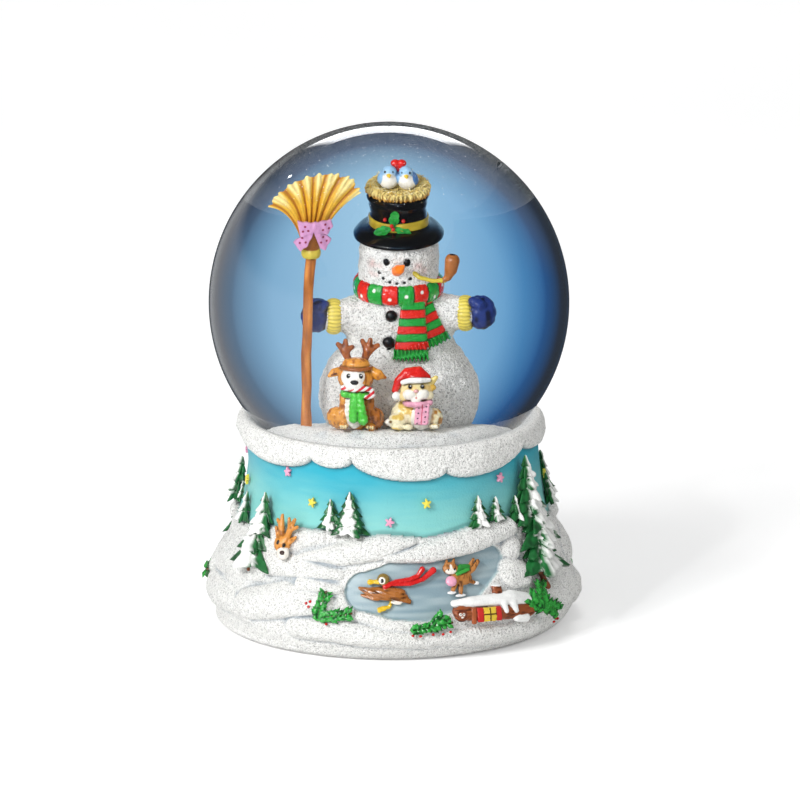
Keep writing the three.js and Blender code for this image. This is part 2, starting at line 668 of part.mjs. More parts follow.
function wormWheel() {
  const { teeth, radius, x, width } = WORM_WHEEL;
  const bore = SHAFT.governor + 0.1;
  return gearAlongX(teeth, (2 * radius) / teeth, Math.PI, x, GOVERNOR_Y, GOVERNOR_Z, width, bore);
}

// The thread of the worm, half a pitch above a wheel tooth where it faces the wheel.
class WormThread extends THREE.Curve {
  getPoint(t) {
    const angle = 2 * Math.PI * WORM.turns * (t - 0.5);
    const facing = angle + Math.PI / 2;
    return new THREE.Vector3(
      WORM.helix * Math.cos(facing),
      WORM.helix * Math.sin(facing),
      GOVERNOR_Z + (WORM_PITCH * angle) / (2 * Math.PI) + WORM_PITCH / 2,
    );
  }
}

function airBrake() {
  const x = WORM_WHEEL.x;
  const section = new THREE.Shape();
  section.absarc(0, 0, WORM.thread, 0, 2 * Math.PI);
  const thread = new THREE.ExtrudeGeometry(section, {
    steps: 14 * WORM.turns,
    curveSegments: 2,
    extrudePath: new WormThread(),
  });
  const vane = box([7.6, 0.5, 2.6], [x, WORM_Y, BED_TOP + 14.2]);
  return join([
    upright(x, WORM_Y, BEDPLATE_Z + 0.4, BED_TOP + FRAME.height + 0.1, SHAFT.brake, 16),
    upright(x, WORM_Y, GOVERNOR_Z - 3.6, GOVERNOR_Z + 4.6, WORM.core, 12),
    moved(thread, [x, WORM_Y, 0]),
    vane,
  ]);
}

// ---------- finishes ----------
const finish = (color, roughness, metalness = 0) =>
  new THREE.MeshStandardMaterial({ color, roughness, metalness });
const FINISH = {
  glass: new THREE.MeshStandardMaterial({
    color: 0xbfd8f0,
    roughness: 0.02,
    transparent: true,
    opacity: 0.3,
  }),
  water: new THREE.MeshStandardMaterial({
    color: 0x6fa8dc,
    roughness: 0.02,
    transparent: true,
    opacity: 0.3,
  }),
  snow: finish(0xf4f5f2, 0.8),
  paintedBase: finish(0x7fd3dc, 0.55),
  rubber: finish(0x2a2a2c, 0.8),
  black: finish(0x0c0c0e, 0.2),
  straw: finish(0xd9a53c, 0.6),
  red: finish(0xd8231c, 0.4),
  blue: finish(0x24407e, 0.6),
  skyBlue: finish(0x6fa3d8, 0.5),
  lilac: finish(0xc98fc4, 0.5),
  brown: finish(0xc0762c, 0.6),
  cream: finish(0xefd79a, 0.6),
  plastic: finish(0x1d1d1f, 0.5),
  felt: finish(0x1f5a38, 0.95),
  steel: finish(0xb9bcc0, 0.3, 1),
  brass: finish(0xc9a24a, 0.3, 1),
  zinc: finish(0x9fa3a6, 0.5, 1),
};

// ---------- assembly ----------
const globe = new THREE.Group();

function add(name, solid, material) {
  const mesh = new THREE.Mesh(geometryOf(solid), material);
  mesh.name = name;
  globe.add(mesh);
}

add("snowman", join([figure(SNOWMAN), figure(NOSE_AND_BUTTONS)]), FINISH.snow);
add("scarf", figure(SCARF, [SNOWMAN, NOSE_AND_BUTTONS]), FINISH.red);
add("top_hat", figure(TOP_HAT, [SNOWMAN]), FINISH.black);
add("bird_nest", figure(BIRD_NEST), FINISH.straw);
add("bluebird_left", figure(BLUEBIRD_LEFT, [BIRD_NEST]), FINISH.skyBlue);
add("bluebird_right", figure(BLUEBIRD_RIGHT, [BIRD_NEST, BLUEBIRD_LEFT]), FINISH.skyBlue);
add("heart", figure(HEART, [BLUEBIRD_LEFT, BLUEBIRD_RIGHT]), FINISH.red);
add("tobacco_pipe", figure(PIPE, [SNOWMAN]), FINISH.brown);
add("left_mitten", figure(LEFT_MITTEN, [SNOWMAN]), FINISH.blue);
add("right_mitten", figure(RIGHT_MITTEN, [SNOWMAN]), FINISH.blue);
add("broom", join([figure(BROOM_STICK), broomFan()]), FINISH.straw);
add("broom_bow", figure(BROOM_BOW), FINISH.lilac);
add("dog", figure(DOG, [SNOWMAN]), FINISH.brown);
add("cat", figure(CAT, [SNOWMAN]), FINISH.cream);

add("water_fill", waterFill(), FINISH.water);
add("glass_globe", glassGlobe(), FINISH.glass);
add("settled_flakes", settledFlakes(), FINISH.snow);
add("snow_mound", snowMound(), FINISH.snow);
add("rubber_stopper", rubberStopper(), FINISH.rubber);

add("resin_base", resinBase(), FINISH.paintedBase);
add("bottom_plate", bottomPlate(), FINISH.plastic);
PLATE_SCREW_ANGLES.forEach((angle, i) => {
  const [x, y] = at(angle, PLATE_SCREW_RADIUS);
  add(`plate_screw_${i + 1}`, screw(x, y, PLATE_Z, 9, SCREW.plate, -1), FINISH.steel);
});
PAD_ANGLES.forEach((angle, i) => {
  const [x, y] = at(angle, PAD.circle);
  add(`foot_pad_${i + 1}`, upright(x, y, 0, BASE_RING_Z, PAD.radius, 20), FINISH.felt);
});

add("bedplate", bedplate(), FINISH.zinc);
add("spring_barrel", springBarrel(), FINISH.brass);
add("mainspring", mainspring(), FINISH.steel);
add("winding_arbor", windingArbor(), FINISH.steel);
add("winding_key", windingKey(), FINISH.brass);
add("barrel_bridge", barrelBridge(), FINISH.brass);
add("music_cylinder", musicCylinder(), FINISH.brass);
add("cylinder_arbor", cylinderArbor(), FINISH.steel);
add(
  "drive_pinion",
  gearAlongX(DRIVE.teeth, DRIVE_MODULE, -Math.PI / 2, DRIVE.x, AXIS_Y, AXIS_Z, DRIVE.width, GEAR_BORE),
  FINISH.brass,
);
add(
  "cylinder_wheel",
  gearAlongX(WHEEL.teeth, WHEEL.module, MESH_ANGLE, WHEEL.x, AXIS_Y, AXIS_Z, WHEEL.width, GEAR_BORE),
  FINISH.brass,
);
add("comb", comb(), FINISH.steel);
COMB_SCREWS.forEach(([x, y], i) => {
  add(`comb_screw_${i + 1}`, screw(x, y, COMB_BOTTOM + COMB.thick, 5, SCREW.comb, 1), FINISH.steel);
});
MOVEMENT_SCREWS.forEach(([x, y], i) => {
  add(`movement_screw_${i + 1}`, screw(x, y, PLATE_Z, 4.4, SCREW.movement, -1), FINISH.steel);
});
add("governor_frame", governorFrame(), FINISH.zinc);
add("governor_pinion", governorPinion(), FINISH.steel);
add("worm_wheel", wormWheel(), FINISH.brass);
add("air_brake", airBrake(), FINISH.steel);

export default globe;
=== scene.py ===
"""A musical snow globe: the looks of its glass, its painted resin and its small snow scene.

Lengths are millimetres until a mesh is made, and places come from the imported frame.
"""
import math
from collections import namedtuple

import bpy
import numpy as np
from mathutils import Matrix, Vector


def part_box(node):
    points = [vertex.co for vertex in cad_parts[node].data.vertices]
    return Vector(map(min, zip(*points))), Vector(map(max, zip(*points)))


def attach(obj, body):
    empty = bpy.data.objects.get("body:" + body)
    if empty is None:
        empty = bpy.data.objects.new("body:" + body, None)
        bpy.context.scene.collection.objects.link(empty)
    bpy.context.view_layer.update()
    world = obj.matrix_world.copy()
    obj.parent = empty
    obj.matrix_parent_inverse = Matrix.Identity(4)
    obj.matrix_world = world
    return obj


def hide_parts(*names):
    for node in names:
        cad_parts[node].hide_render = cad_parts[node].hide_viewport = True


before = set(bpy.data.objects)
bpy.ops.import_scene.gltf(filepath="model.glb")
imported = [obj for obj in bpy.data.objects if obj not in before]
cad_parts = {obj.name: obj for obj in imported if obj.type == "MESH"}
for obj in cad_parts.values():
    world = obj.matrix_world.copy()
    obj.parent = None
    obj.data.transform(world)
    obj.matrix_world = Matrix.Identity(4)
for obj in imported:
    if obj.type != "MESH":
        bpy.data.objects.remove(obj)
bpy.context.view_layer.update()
MM = 0.001
BODY = "globe_body"


# ---------- places read from the frame ----------
def span(node):
    """Lowest and highest corner of a CAD node."""
    low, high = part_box(node)
    return np.array(low) / MM, np.array(high) / MM


def foot(node):
    """Middle of the underside of a CAD node's box."""
    low, high = span(node)
    return np.array([(low[0] + high[0]) / 2, (low[1] + high[1]) / 2, low[2]])


GLASS_LOW, GLASS_HIGH = span("glass_globe")
BALL_RADIUS = GLASS_HIGH[1]
BALL_Z = GLASS_HIGH[2] - BALL_RADIUS
WALL = 1.8  # of the glass
NECK_RADIUS = 30.5


# ---------- colour ----------
def linear(code):
    """Linear colour of a #rrggbb code."""
    parts = np.array([int(code[i:i + 2], 16) for i in (1, 3, 5)]) / 255
    return np.where(parts < 0.04045, parts / 12.92, ((parts + 0.055) / 1.055) ** 2.4)


def mix(first, second, share):
    """Blend of two colours, or of two arrays of colours."""
    share = np.clip(share, 0, 1)[..., None]
    return first * (1 - share) + second * share


def tone(first, second, share):
    """Blend of two #rrggbb colours, for each of an array of shares."""
    return mix(linear(first), linear(second), share)


def smooth(value, start, end):
    """0 before start, 1 after end, with a soft ramp between."""
    t = np.clip((value - start) / (end - start), 0, 1)
    return t * t * (3 - 2 * t)


SNOW = "#f6f6f3"
SHADE = "#7d91a3"
COAL = "#0c0b0c"
BRIGHT_WHITE = "#ffffff"


# ---------- repeatable noise ----------
def lattice(cells):
    """A fixed pseudo-random number from 0 to 1 for each whole-number cell."""
    n = cells.astype(np.int64)
    h = n[..., 0] * 374761393 + n[..., 1] * 668265263 + n[..., 2] * 1442695041
    h = (h ^ (h >> 13)) * 1274126177
    return ((h ^ (h >> 16)) & 0xFFFFFF) / 0xFFFFFF


def noise(points, size):
    """Smooth noise from -1 to 1, with features of about the given size."""
    scaled = points / size
    cell = np.floor(scaled)
    t = scaled - cell
    t = t * t * (3 - 2 * t)
    total = np.zeros(len(points))
    for corner in np.ndindex(2, 2, 2):
        weight = np.prod(np.where(corner, t, 1 - t), axis=1)
        total += weight * lattice(cell + corner)
    return total * 2 - 1


# ---------- sculpting: signed distances, in millimetres ----------
Part = namedtuple("Part", "kind distance colour soft")


def add(distance, colour, soft=0.4):
    """Clay of one colour, melted into what is there over a soft width."""
    return Part("add", distance, colour, soft)


def carve(distance, colour, soft=0.3):
    return Part("carve", distance, colour, soft)


def dab(distance, colour, soft=0.15):
    """Paint only."""
    return Part("dab", distance, colour, soft)


def spin(turn):
    """Rotation matrix of three angles in degrees, about X, then Y, then Z."""
    x, y, z = np.radians(turn)
    about_x = np.array([[1, 0, 0], [0, math.cos(x), -math.sin(x)], [0, math.sin(x), math.cos(x)]])
    about_y = np.array([[math.cos(y), 0, math.sin(y)], [0, 1, 0], [-math.sin(y), 0, math.cos(y)]])
    about_z = np.array([[math.cos(z), -math.sin(z), 0], [math.sin(z), math.cos(z), 0], [0, 0, 1]])
    return about_z @ about_y @ about_x


def egg(at, radii, turn=(0, 0, 0)):
    at, radii, axes = np.array(at), np.array(radii, float), spin(turn)

    def distance(p):
        q = (p - at) @ axes
        outer = np.linalg.norm(q / radii, axis=1)
        inner = np.linalg.norm(q / radii**2, axis=1)
        return outer * (outer - 1) / np.maximum(inner, 1e-6)

    return distance


def limb(points, radii):
    """A round bar along a path, with a radius at each point."""
    points = np.array(points, float)
    radii = np.broadcast_to(radii, len(points))

    def distance(p):
        best = np.full(len(p), 1e9)
        for a, b, start, end in zip(points, points[1:], radii, radii[1:]):
            along = b - a
            t = np.clip((p - a) @ along / (along @ along), 0, 1)
            gap = np.linalg.norm(p - a - t[:, None] * along, axis=1)
            best = np.minimum(best, gap - start - (end - start) * t)
        return best

    return distance


def brick(at, half, soft, turn=(0, 0, 0)):
    at, half, axes = np.array(at), np.array(half, float), spin(turn)

    def distance(p):
        q = np.abs((p - at) @ axes) - half + soft
        outside = np.linalg.norm(np.maximum(q, 0), axis=1)
        return outside + np.minimum(q.max(axis=1), 0) - soft

    return distance


def ring(at, radius, thick, height, turn=(0, 0, 0)):
    """A ring about Z, with an oval section."""
    at, axes = np.array(at), spin(turn)

    def distance(p):
        q = (p - at) @ axes
        out = (np.hypot(q[:, 0], q[:, 1]) - radius) / thick
        up = q[:, 2] / height
        return (np.hypot(out, up) - 1) * min(thick, height)

    return distance


def ball(at, radii, colour, soft=0.4, turn=(0, 0, 0)):
    """An egg of clay."""
    return add(egg(at, radii, turn), colour, soft)


def bar(points, radii, colour, soft=0.4):
    """A limb of clay."""
    return add(limb(points, radii), colour, soft)


def spot(at, radii, colour, soft=0.15):
    """An egg-shaped dab of paint."""
    return dab(egg(at, radii), colour, soft)


def melt(a, b, soft):
    """The nearer of two distances, with the join rounded over a soft width."""
    h = np.maximum(soft - np.abs(a - b), 0) / max(soft, 1e-6)
    return np.minimum(a, b) - h * h * soft / 4


def shape_of(parts, texture=None):
    def distance(p):
        total = None
        for part in parts:
            if part.kind == "dab":
                continue
            d = part.distance(p)
            if total is None:
                total = d
            elif part.kind == "carve":
                total = -melt(-total, d, part.soft)
            else:
                total = melt(total, d, part.soft)
        return total if texture is None else total + texture(p)

    return distance


def colours_of(parts, p):
    """The paint at each point: each step's clay or paint covers what was there before it."""
    nearest = np.full(len(p), np.inf)
    colours = np.zeros((len(p), 3))
    for part in parts:
        d = part.distance(p)
        if part.kind == "dab":
            colours = mix(colours, shade(part.colour, p), smooth(-d, -part.soft, part.soft))
            continue
        added = part.kind == "add"
        mine = d < nearest if added else -d > nearest
        colours[mine] = shade(part.colour, p[mine])
        nearest = np.minimum(nearest, d) if added else np.maximum(nearest, -d)
    return colours


def shade(colour, p):
    """A colour code, or a pattern worked out from the points."""
    if callable(colour):
        return colour(p)
    return np.broadcast_to(linear(colour), (len(p), 3))


COARSE = 4


def sample(distance, low, high, step):
    """Distances on a grid, worked out at every point only near the surface."""
    blocks = np.ceil((high - low) / (step * COARSE)).astype(int) + 1
    index = np.stack(np.meshgrid(*map(np.arange, blocks), indexing="ij"), -1)
    middle = low + step * (index * COARSE + (COARSE - 1) / 2)
    far = distance(middle.reshape(-1, 3)).reshape(blocks)
    field = far.repeat(COARSE, 0).repeat(COARSE, 1).repeat(COARSE, 2)
    near = index[np.abs(far) < 1.6 * COARSE * step]
    inner = np.stack(np.meshgrid(*[np.arange(COARSE)] * 3, indexing="ij"), -1).reshape(-1, 3)
    nodes = (near[:, None] * COARSE + inner).reshape(-1, 3)
    field[tuple(nodes.T)] = distance(low + step * nodes)
    return field


def skin(field):
    """Points and quads of the field's zero surface, one point per crossed cell."""
    cells = np.array(field.shape) - 1
    total = np.zeros((*cells, 3))
    count = np.zeros(cells)
    crossings = []
    for axis in range(3):
        order = [axis] + [k for k in range(3) if k != axis]
        values = field.transpose(order)
        near, far = values[:-1], values[1:]
        crossed = (near < 0) != (far < 0)
        share = np.where(crossed, near / np.where(crossed, near - far, 1), 0)
        crossings.append((order, crossed, near < 0))
        sums = total.transpose(order + [3])
        counts = count.transpose(order)
        for a, b in np.ndindex(2, 2):
            part = (slice(None), slice(a, a + crossed.shape[1] - 1), slice(b, b + crossed.shape[2] - 1))
            hit = crossed[part]
            sums[..., order[0]] += share[part]
            sums[..., order[1]] += a * hit
            sums[..., order[2]] += b * hit
            counts += hit
    active = count > 0
    number = np.full(cells, -1)
    number[active] = np.arange(active.sum())
    points = np.argwhere(active) + total[active] / count[active][:, None]
    quads = []
    for order, crossed, rising in crossings:
        ids = number.transpose(order)
        hit = crossed[:, 1:-1, 1:-1]
        corners = [ids[:, :-1, :-1], ids[:, 1:, :-1], ids[:, 1:, 1:], ids[:, :-1, 1:]]
        loop = np.stack([corner[hit] for corner in corners], axis=1)
        flip = rising[:, 1:-1, 1:-1][hit] == (order[0] == 1)
        loop[flip] = loop[flip][:, ::-1]
        quads.append(loop)
    return points, np.concatenate(quads)


def normals_of(points, quads):
    across = np.cross(points[quads[:, 2]] - points[quads[:, 0]], points[quads[:, 3]] - points[quads[:, 1]])
    total = np.zeros_like(points)
    for corner in range(4):
        np.add.at(total, quads[:, corner], across)
    return total / np.maximum(np.linalg.norm(total, axis=1), 1e-9)[:, None]


def sculpture(parts, low, high, step, texture=None, hollow_shade=0.45, reach=0.7):
    """Points, quads and paint of a sculpted form, with painted shade darkening its creases and hollows."""
    low, high = np.array(low, float), np.array(high, float)
    distance = shape_of(parts, texture)
    points, quads = skin(sample(distance, low, high, step))
    points = low + step * points
    colours = colours_of(parts, points)
    # painted shade: the paint is darkened where little open air lies just outside the surface
    open_air = shape_of(parts)(points + reach * normals_of(points, quads)) / reach
    colours = colours * (1 - hollow_shade * (1 - smooth(open_air, 0.1, 0.9)))[:, None]
    return points, quads, colours


# ---------- meshes ----------
def make(name, points, faces, colours=None, flat=False, sugar=None):
    """A mesh object from an array of equal polygons. `sugar` is how grainy the paint is at each point."""
    mesh = bpy.data.meshes.new(name)
    loops = faces.ravel()
    sizes = np.full(len(faces), faces.shape[1])
    mesh.vertices.add(len(points))
    mesh.vertices.foreach_set("co", (np.asarray(points) * MM).astype(np.float32).ravel())
    mesh.loops.add(len(loops))
    mesh.loops.foreach_set("vertex_index", loops.astype(np.int32))
    mesh.polygons.add(len(sizes))
    mesh.polygons.foreach_set("loop_start", (np.cumsum(sizes) - sizes).astype(np.int32))
    mesh.polygons.foreach_set("loop_total", sizes.astype(np.int32))
    mesh.update(calc_edges=True)
    mesh.polygons.foreach_set("use_smooth", np.full(len(sizes), not flat))
    if colours is not None:
        paint = mesh.color_attributes.new("paint", "FLOAT_COLOR", "POINT")
        sugar = np.ones((len(points), 1)) if sugar is None else sugar.reshape(-1, 1)
        paint.data.foreach_set("color", np.hstack([colours, sugar]).astype(np.float32).ravel())
    mesh.validate()
    obj = bpy.data.objects.new(name, mesh)
    bpy.context.scene.collection.objects.link(obj)
    return obj


def dress(obj, material, slot, *nodes):
    """Gives a piece its material and the body it rides on, and hides the CAD nodes it stands for; `slot` is
    not used.
    """
    obj.data.materials.append(material)
    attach(obj, BODY)
    if nodes:
        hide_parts(*nodes)


def stand_in(name, node, origin, sculpt, material, slot, scale=1.0):
    """A sculpted piece, moved to its origin, that takes the place of a CAD node."""
    points, quads, colours = sculpt
    nodes = [node] if node else []
    dress(make(name, points * scale + origin, quads, colours), material, slot, *nodes)


def joined(bits):
    """One set of points, quads and colours from several."""
    points, quads, colours, start = [], [], [], 0
    for p, q, c in bits:
        points.append(p)
        quads.append(q + start)
        colours.append(c)
        start += len(p)
    return np.concatenate(points), np.concatenate(quads), np.concatenate(colours)


# ---------- materials ----------
class Nodes:
    """A short way to write a node material."""

    def __init__(self, name):
        self.material = bpy.data.materials.new(name)
        self.material.use_nodes = True
        self.tree = self.material.node_tree
        self.shader = self.tree.nodes["Principled BSDF"]
        self.output = self.tree.nodes["Material Output"]

    def node(self, kind, inputs=(), **settings):
        made = self.tree.nodes.new(kind)
        for key, value in settings.items():
            setattr(made, key, value)
        for key, value in dict(inputs).items():
            self.feed(made, key, value)
        return made

    def feed(self, node, key, value):
        if isinstance(value, bpy.types.NodeSocket):
            self.tree.links.new(value, node.inputs[key])
        else:
            node.inputs[key].default_value = value

    def noise(self, size, detail=3, roughness=0.55):
        """Noise from 0 to 1, with features of about the given size in millimetres."""
        place = self.node("ShaderNodeTexCoord").outputs["Object"]
        settings = {"Vector": place, "Scale": 1 / (size * MM), "Detail": detail, "Roughness": roughness}
        return self.node("ShaderNodeTexNoise", settings).outputs["Fac"]

    def ramp(self, value, start, end, low=0.0, high=1.0):
        inputs = {"Value": value, "From Min": start, "From Max": end, "To Min": low, "To Max": high}
        return self.node("ShaderNodeMapRange", inputs).outputs["Result"]

    def mixed(self, share, first, second, blend="MIX"):
        made = self.node("ShaderNodeMix", data_type="RGBA", blend_type=blend)
        for i, value in ((0, share), (6, first), (7, second)):
            self.feed(made, i, value)
        return made.outputs[2]

    def bump(self, height, depth):
        """Bump of the given depth in millimetres."""
        inputs = {"Height": height, "Distance": depth * MM, "Strength": 1.0}
        return self.node("ShaderNodeBump", inputs).outputs["Normal"]

    def multiplied(self, first, second):
        return self.node("ShaderNodeMath", {0: first, 1: second}, operation="MULTIPLY").outputs[0]

    def even(self, value):
        """A grey of a changing value."""
        return self.node("ShaderNodeCombineColor", {0: value, 1: value, 2: value}).outputs[0]

    def surface(self, shader):
        self.tree.links.new(shader, self.output.inputs["Surface"])


def grey(value):
    return (value, value, value, 1)


def opaque(code, strength=1.0):
    """Colour of a #rrggbb code as a node takes it."""
    return (*linear(code) * strength, 1)


def painted(name, roughness=0.45, grain=0.5, depth=0.03, pit_shade=0.25, coat=0.2):
    """Hand-painted resin: brushed paint, with painted shade in the small pits of its bump."""
    m = Nodes(name)
    paint = m.node("ShaderNodeAttribute", attribute_name="paint").outputs["Color"]
    fine = m.noise(grain)
    brush = m.noise(grain * 6, 4)
    uneven = m.ramp(brush, 0.3, 0.7, 0.86, 1.06)
    toned = m.mixed(1.0, paint, m.even(uneven), "MULTIPLY")
    # painted shade: a darker copy of the paint, laid where the bump noise dips into pits
    hollow_shade = m.mixed(1.0, toned, grey(0.25), "MULTIPLY")
    pit_shaded = m.mixed(m.ramp(fine, 0.44, 0.3, 0.0, pit_shade), toned, hollow_shade)
    m.feed(m.shader, "Base Color", pit_shaded)
    m.feed(m.shader, "Roughness", m.ramp(brush, 0.3, 0.7, roughness - 0.08, roughness + 0.1))
    m.feed(m.shader, "Coat Weight", coat)
    m.feed(m.shader, "Coat Roughness", 0.15)
    m.feed(m.shader, "Normal", m.bump(fine, depth))
    return m.material


def sugared(name, grain=0.6, depth=0.95):
    """White resin rolled in sugar-like grains, with painted shade in the hollows of their bump and dark
    specks between them where the paint is grainy.
    """
    m = Nodes(name)
    attribute = m.node("ShaderNodeAttribute", attribute_name="paint").outputs
    paint, grainy = attribute["Color"], attribute["Alpha"]
    grains = m.noise(grain, 2, 0.7)
    patches = m.noise(grain * 9, 3)
    specks = m.noise(grain * 0.5, 1, 0.3)
    # painted shade in the hollows of the grain bump, where the paint is grainy
    hollow = m.multiplied(m.ramp(grains, 0.5, 0.33, 0.0, 0.42), grainy)
    dark = m.multiplied(m.ramp(specks, 0.4, 0.32, 0.0, 0.5), m.ramp(patches, 0.25, 0.55, 0.55, 1.0))
    toned = m.mixed(hollow, paint, m.mixed(1.0, paint, grey(0.3), "MULTIPLY"))
    m.feed(m.shader, "Base Color", m.mixed(m.multiplied(dark, grainy), toned, (0.09, 0.085, 0.08, 1)))
    m.feed(m.shader, "Roughness", m.ramp(grainy, 0, 1, 0.4, 0.75))
    m.feed(m.shader, "Normal", m.bump(m.multiplied(grains, m.ramp(grainy, 0, 1, 0.12, 1.0)), depth))
    return m.material


def metal(name, code, roughness, streak=0.3):
    """Machined or cast metal with fine marks and a little tarnish."""
    m = Nodes(name)
    stains = m.ramp(m.noise(3.0, 4), 0.4, 0.75, 0.0, 0.35)
    marks = m.noise(streak, 2)
    m.feed(m.shader, "Base Color", m.mixed(stains, opaque(code), opaque(code, 0.55)))
    m.feed(m.shader, "Metallic", 1.0)
    m.feed(m.shader, "Roughness", m.ramp(marks, 0.3, 0.7, roughness * 0.7, roughness * 1.4))
    m.feed(m.shader, "Normal", m.bump(marks, 0.012))
    return m.material


def moulded(name, code, roughness, grain=0.5, depth=0.03, sheen=0.0):
    """Plain moulded rubber, plastic or felt, with grain and slight fading."""
    m = Nodes(name)
    fade = m.ramp(m.noise(grain * 12, 3), 0.3, 0.7, 0.0, 0.5)
    fine = m.noise(grain, 3)
    m.feed(m.shader, "Base Color", m.mixed(fade, opaque(code), opaque(code, 1.5)))
    m.feed(m.shader, "Roughness", m.ramp(fine, 0.3, 0.7, roughness - 0.08, roughness + 0.08))
    m.feed(m.shader, "Sheen Weight", sheen)
    m.feed(m.shader, "Normal", m.bump(fine, depth))
    return m.material


# ---------- turned and wrapped surfaces ----------
def grid_faces(rows, columns, close_rows=False):
    """Quads of a grid of points that closes on itself across its columns."""
    i, j = np.meshgrid(np.arange(rows if close_rows else rows - 1), np.arange(columns), indexing="ij")
    up, side = (i + 1) % rows, (j + 1) % columns
    loop = [i * columns + j, i * columns + side, up * columns + side, up * columns + j]
    return np.stack([corner.ravel() for corner in loop], axis=1)


def rounded(points, steps):
    """A smooth line through points, with a number of steps in each stretch."""
    p = np.array(points, float)
    p = np.vstack([2 * p[0] - p[1], p, 2 * p[-1] - p[-2]])
    t = np.linspace(0, 1, steps, endpoint=False)[:, None]
    out = []
    for a, b, c, d in zip(p, p[1:], p[2:], p[3:]):
        out.append(0.5 * (2 * b + (c - a) * t + (2 * a - 5 * b + 4 * c - d) * t**2
                          + (3 * b - a - 3 * c + d) * t**3))
    return np.vstack([*out, p[-2][None]])


def around(columns):
    """Angles from the front, towards +X."""
    return np.linspace(-math.pi, math.pi, columns, endpoint=False)


def polar(angle, radius, z):
    return np.stack([radius * np.sin(angle), -radius * np.cos(angle), z + 0 * angle], axis=-1)


def turns_and_heights(columns, rows):
    """Angles across and shares of the height up, for every point of a grid."""
    return np.meshgrid(np.linspace(0, 2 * math.pi, columns, endpoint=False), np.linspace(0, 1, rows))


def lathe(profile, columns, change=None):
    """Points, as rows and columns, of a profile turned about Z."""
    radius, z = np.array(profile, float).T
    angle, radius = np.meshgrid(around(columns), radius)
    z = np.broadcast_to(z[:, None], radius.shape)
    if change is not None:
        radius, z = change(angle, radius, z)
    return polar(angle, radius, z)


def turned_mesh(profile, columns, paint, change=None, close=False):
    """Points, quads and colours of a turned form."""
    grid = lathe(profile, columns, change)
    points = grid.reshape(-1, 3)
    return points, grid_faces(grid.shape[0], columns, close), shade(paint, points)


# ---------- base: the painted snow scene round the outside ----------
BASE_COLUMNS = 900
WRAP_RADIUS = 46.0  # the painted scene is laid out flat, then wrapped round at this radius
SLIM = 2.7  # how far the base draws in on its left
BASE_OUTLINE = [
    (46.8, 0.25), (48.9, 1.6), (50.6, 4.5), (51.5, 8), (51.2, 12.5), (49.2, 18), (46.9, 24),
    (45.1, 31), (43.6, 38), (42.8, 44), (42.3, 50), (41.9, 55), (41.3, 57.6), (40.2, 58.6),
]
SKY_TOP = "#1fa3ba"
SKY_LOW = "#84cbc6"
ICE = "#7f98a3"


def closed_curve(points, blur=5):
    """A smooth height for every angle, from a few (degrees, height) points."""
    places, heights = np.array(points, float).T
    fine = np.arange(-180, 180)
    values = np.interp(fine, places, heights, period=360)
    window = range(-blur, blur + 1)
    values = sum(np.roll(values, k) for k in window) / len(window)
    return lambda angle: np.interp(np.degrees(angle), fine, values, period=360)


def lobed_curve(cusps, sag):
    """An edge that hangs in rounded lobes between cusps, given as (degrees, height)."""
    places, heights = np.array(cusps, float).T

    def height(angle):
        degrees = (np.degrees(angle) - places[0]) % 360 + places[0]
        ends = np.append(places, places[0] + 360)
        i = np.clip(np.searchsorted(ends, degrees, side="right") - 1, 0, len(places) - 1)
        width = ends[i + 1] - ends[i]
        t = (degrees - ends[i]) / width
        level = heights[i] * (1 - t) + heights[(i + 1) % len(heights)] * t
        return level - (1.0 + sag * width) * np.sqrt(np.maximum(1 - (2 * t - 1) ** 2, 0))

    return height


COLLAR = lobed_curve(
    [(-172, 54.5), (-140, 55), (-112, 54), (-82, 55.5), (-31, 54.6), (-14, 54.8), (22, 51.9),
     (61, 54.9), (96, 55), (124, 53.5), (158, 55)], 0.075)
HORIZON = closed_curve(
    [(-150, 35.5), (-120, 32), (-98, 31), (-79, 29.4), (-55, 32.3), (-36, 34.7), (-23, 35.4), (-7, 34),
     (5, 34.8), (12, 33.6), (29, 35.1), (45, 35.4), (68, 32), (95, 30.5), (122, 33.5), (150, 35),
     (178, 33)])

# Snow drifts: (along the surface, height) points, with a radius at each, and how far the drift stands out.
FRONT_DRIFTS = [
    ([(-26, 27.2), (-14, 29.3), (-3, 31.6), (7, 33.2)], (1.2, 3.3, 3.2, 1.0), 1.7),
    ([(-0.5, 28.8), (10, 29.9), (24, 32.2), (38, 33.5)], (0.9, 3.0, 3.6, 2.6), 2.0),
    ([(-50, 25), (-36, 29.5), (-20, 33)], (3.5, 4.4, 1.6), 1.3),
    ([(-42, 23.6), (-28, 24.6), (-13.6, 23.9)], (4.0, 3.4, 1.7), 1.9),
    ([(-24, 20.6), (-13.2, 20.0)], (2.6, 1.5), 1.7),
    ([(-66, 20), (-50, 21), (-38, 19.8)], (5.0, 4.4, 1.6), 1.5),
    ([(-42, 11.5), (-29, 15.6), (-17, 16.4)], (4.6, 5.2, 3.2), 2.2),
    ([(-68, 10), (-50, 11), (-40, 7)], (5.6, 4.0, 1.4), 1.7),
    ([(37.5, 28.2)], (3.6,), 1.9),
    ([(36.0, 21.6), (39, 20.8)], (4.4, 4.0), 2.1),
    ([(46, 26), (58, 24)], (4.6, 4.0), 1.5),
    ([(46, 12), (60, 13)], (5.0, 5.0), 1.6),
    ([(-24, 8.6), (-14, 9.2), (-3, 7.6), (10, 6.0)], (3.2, 3.4, 3.2, 2.4), 1.7),
    ([(4, 7.4), (20, 6.6), (40, 5.4)], (2.0, 3.4, 3.4), 1.6),
]
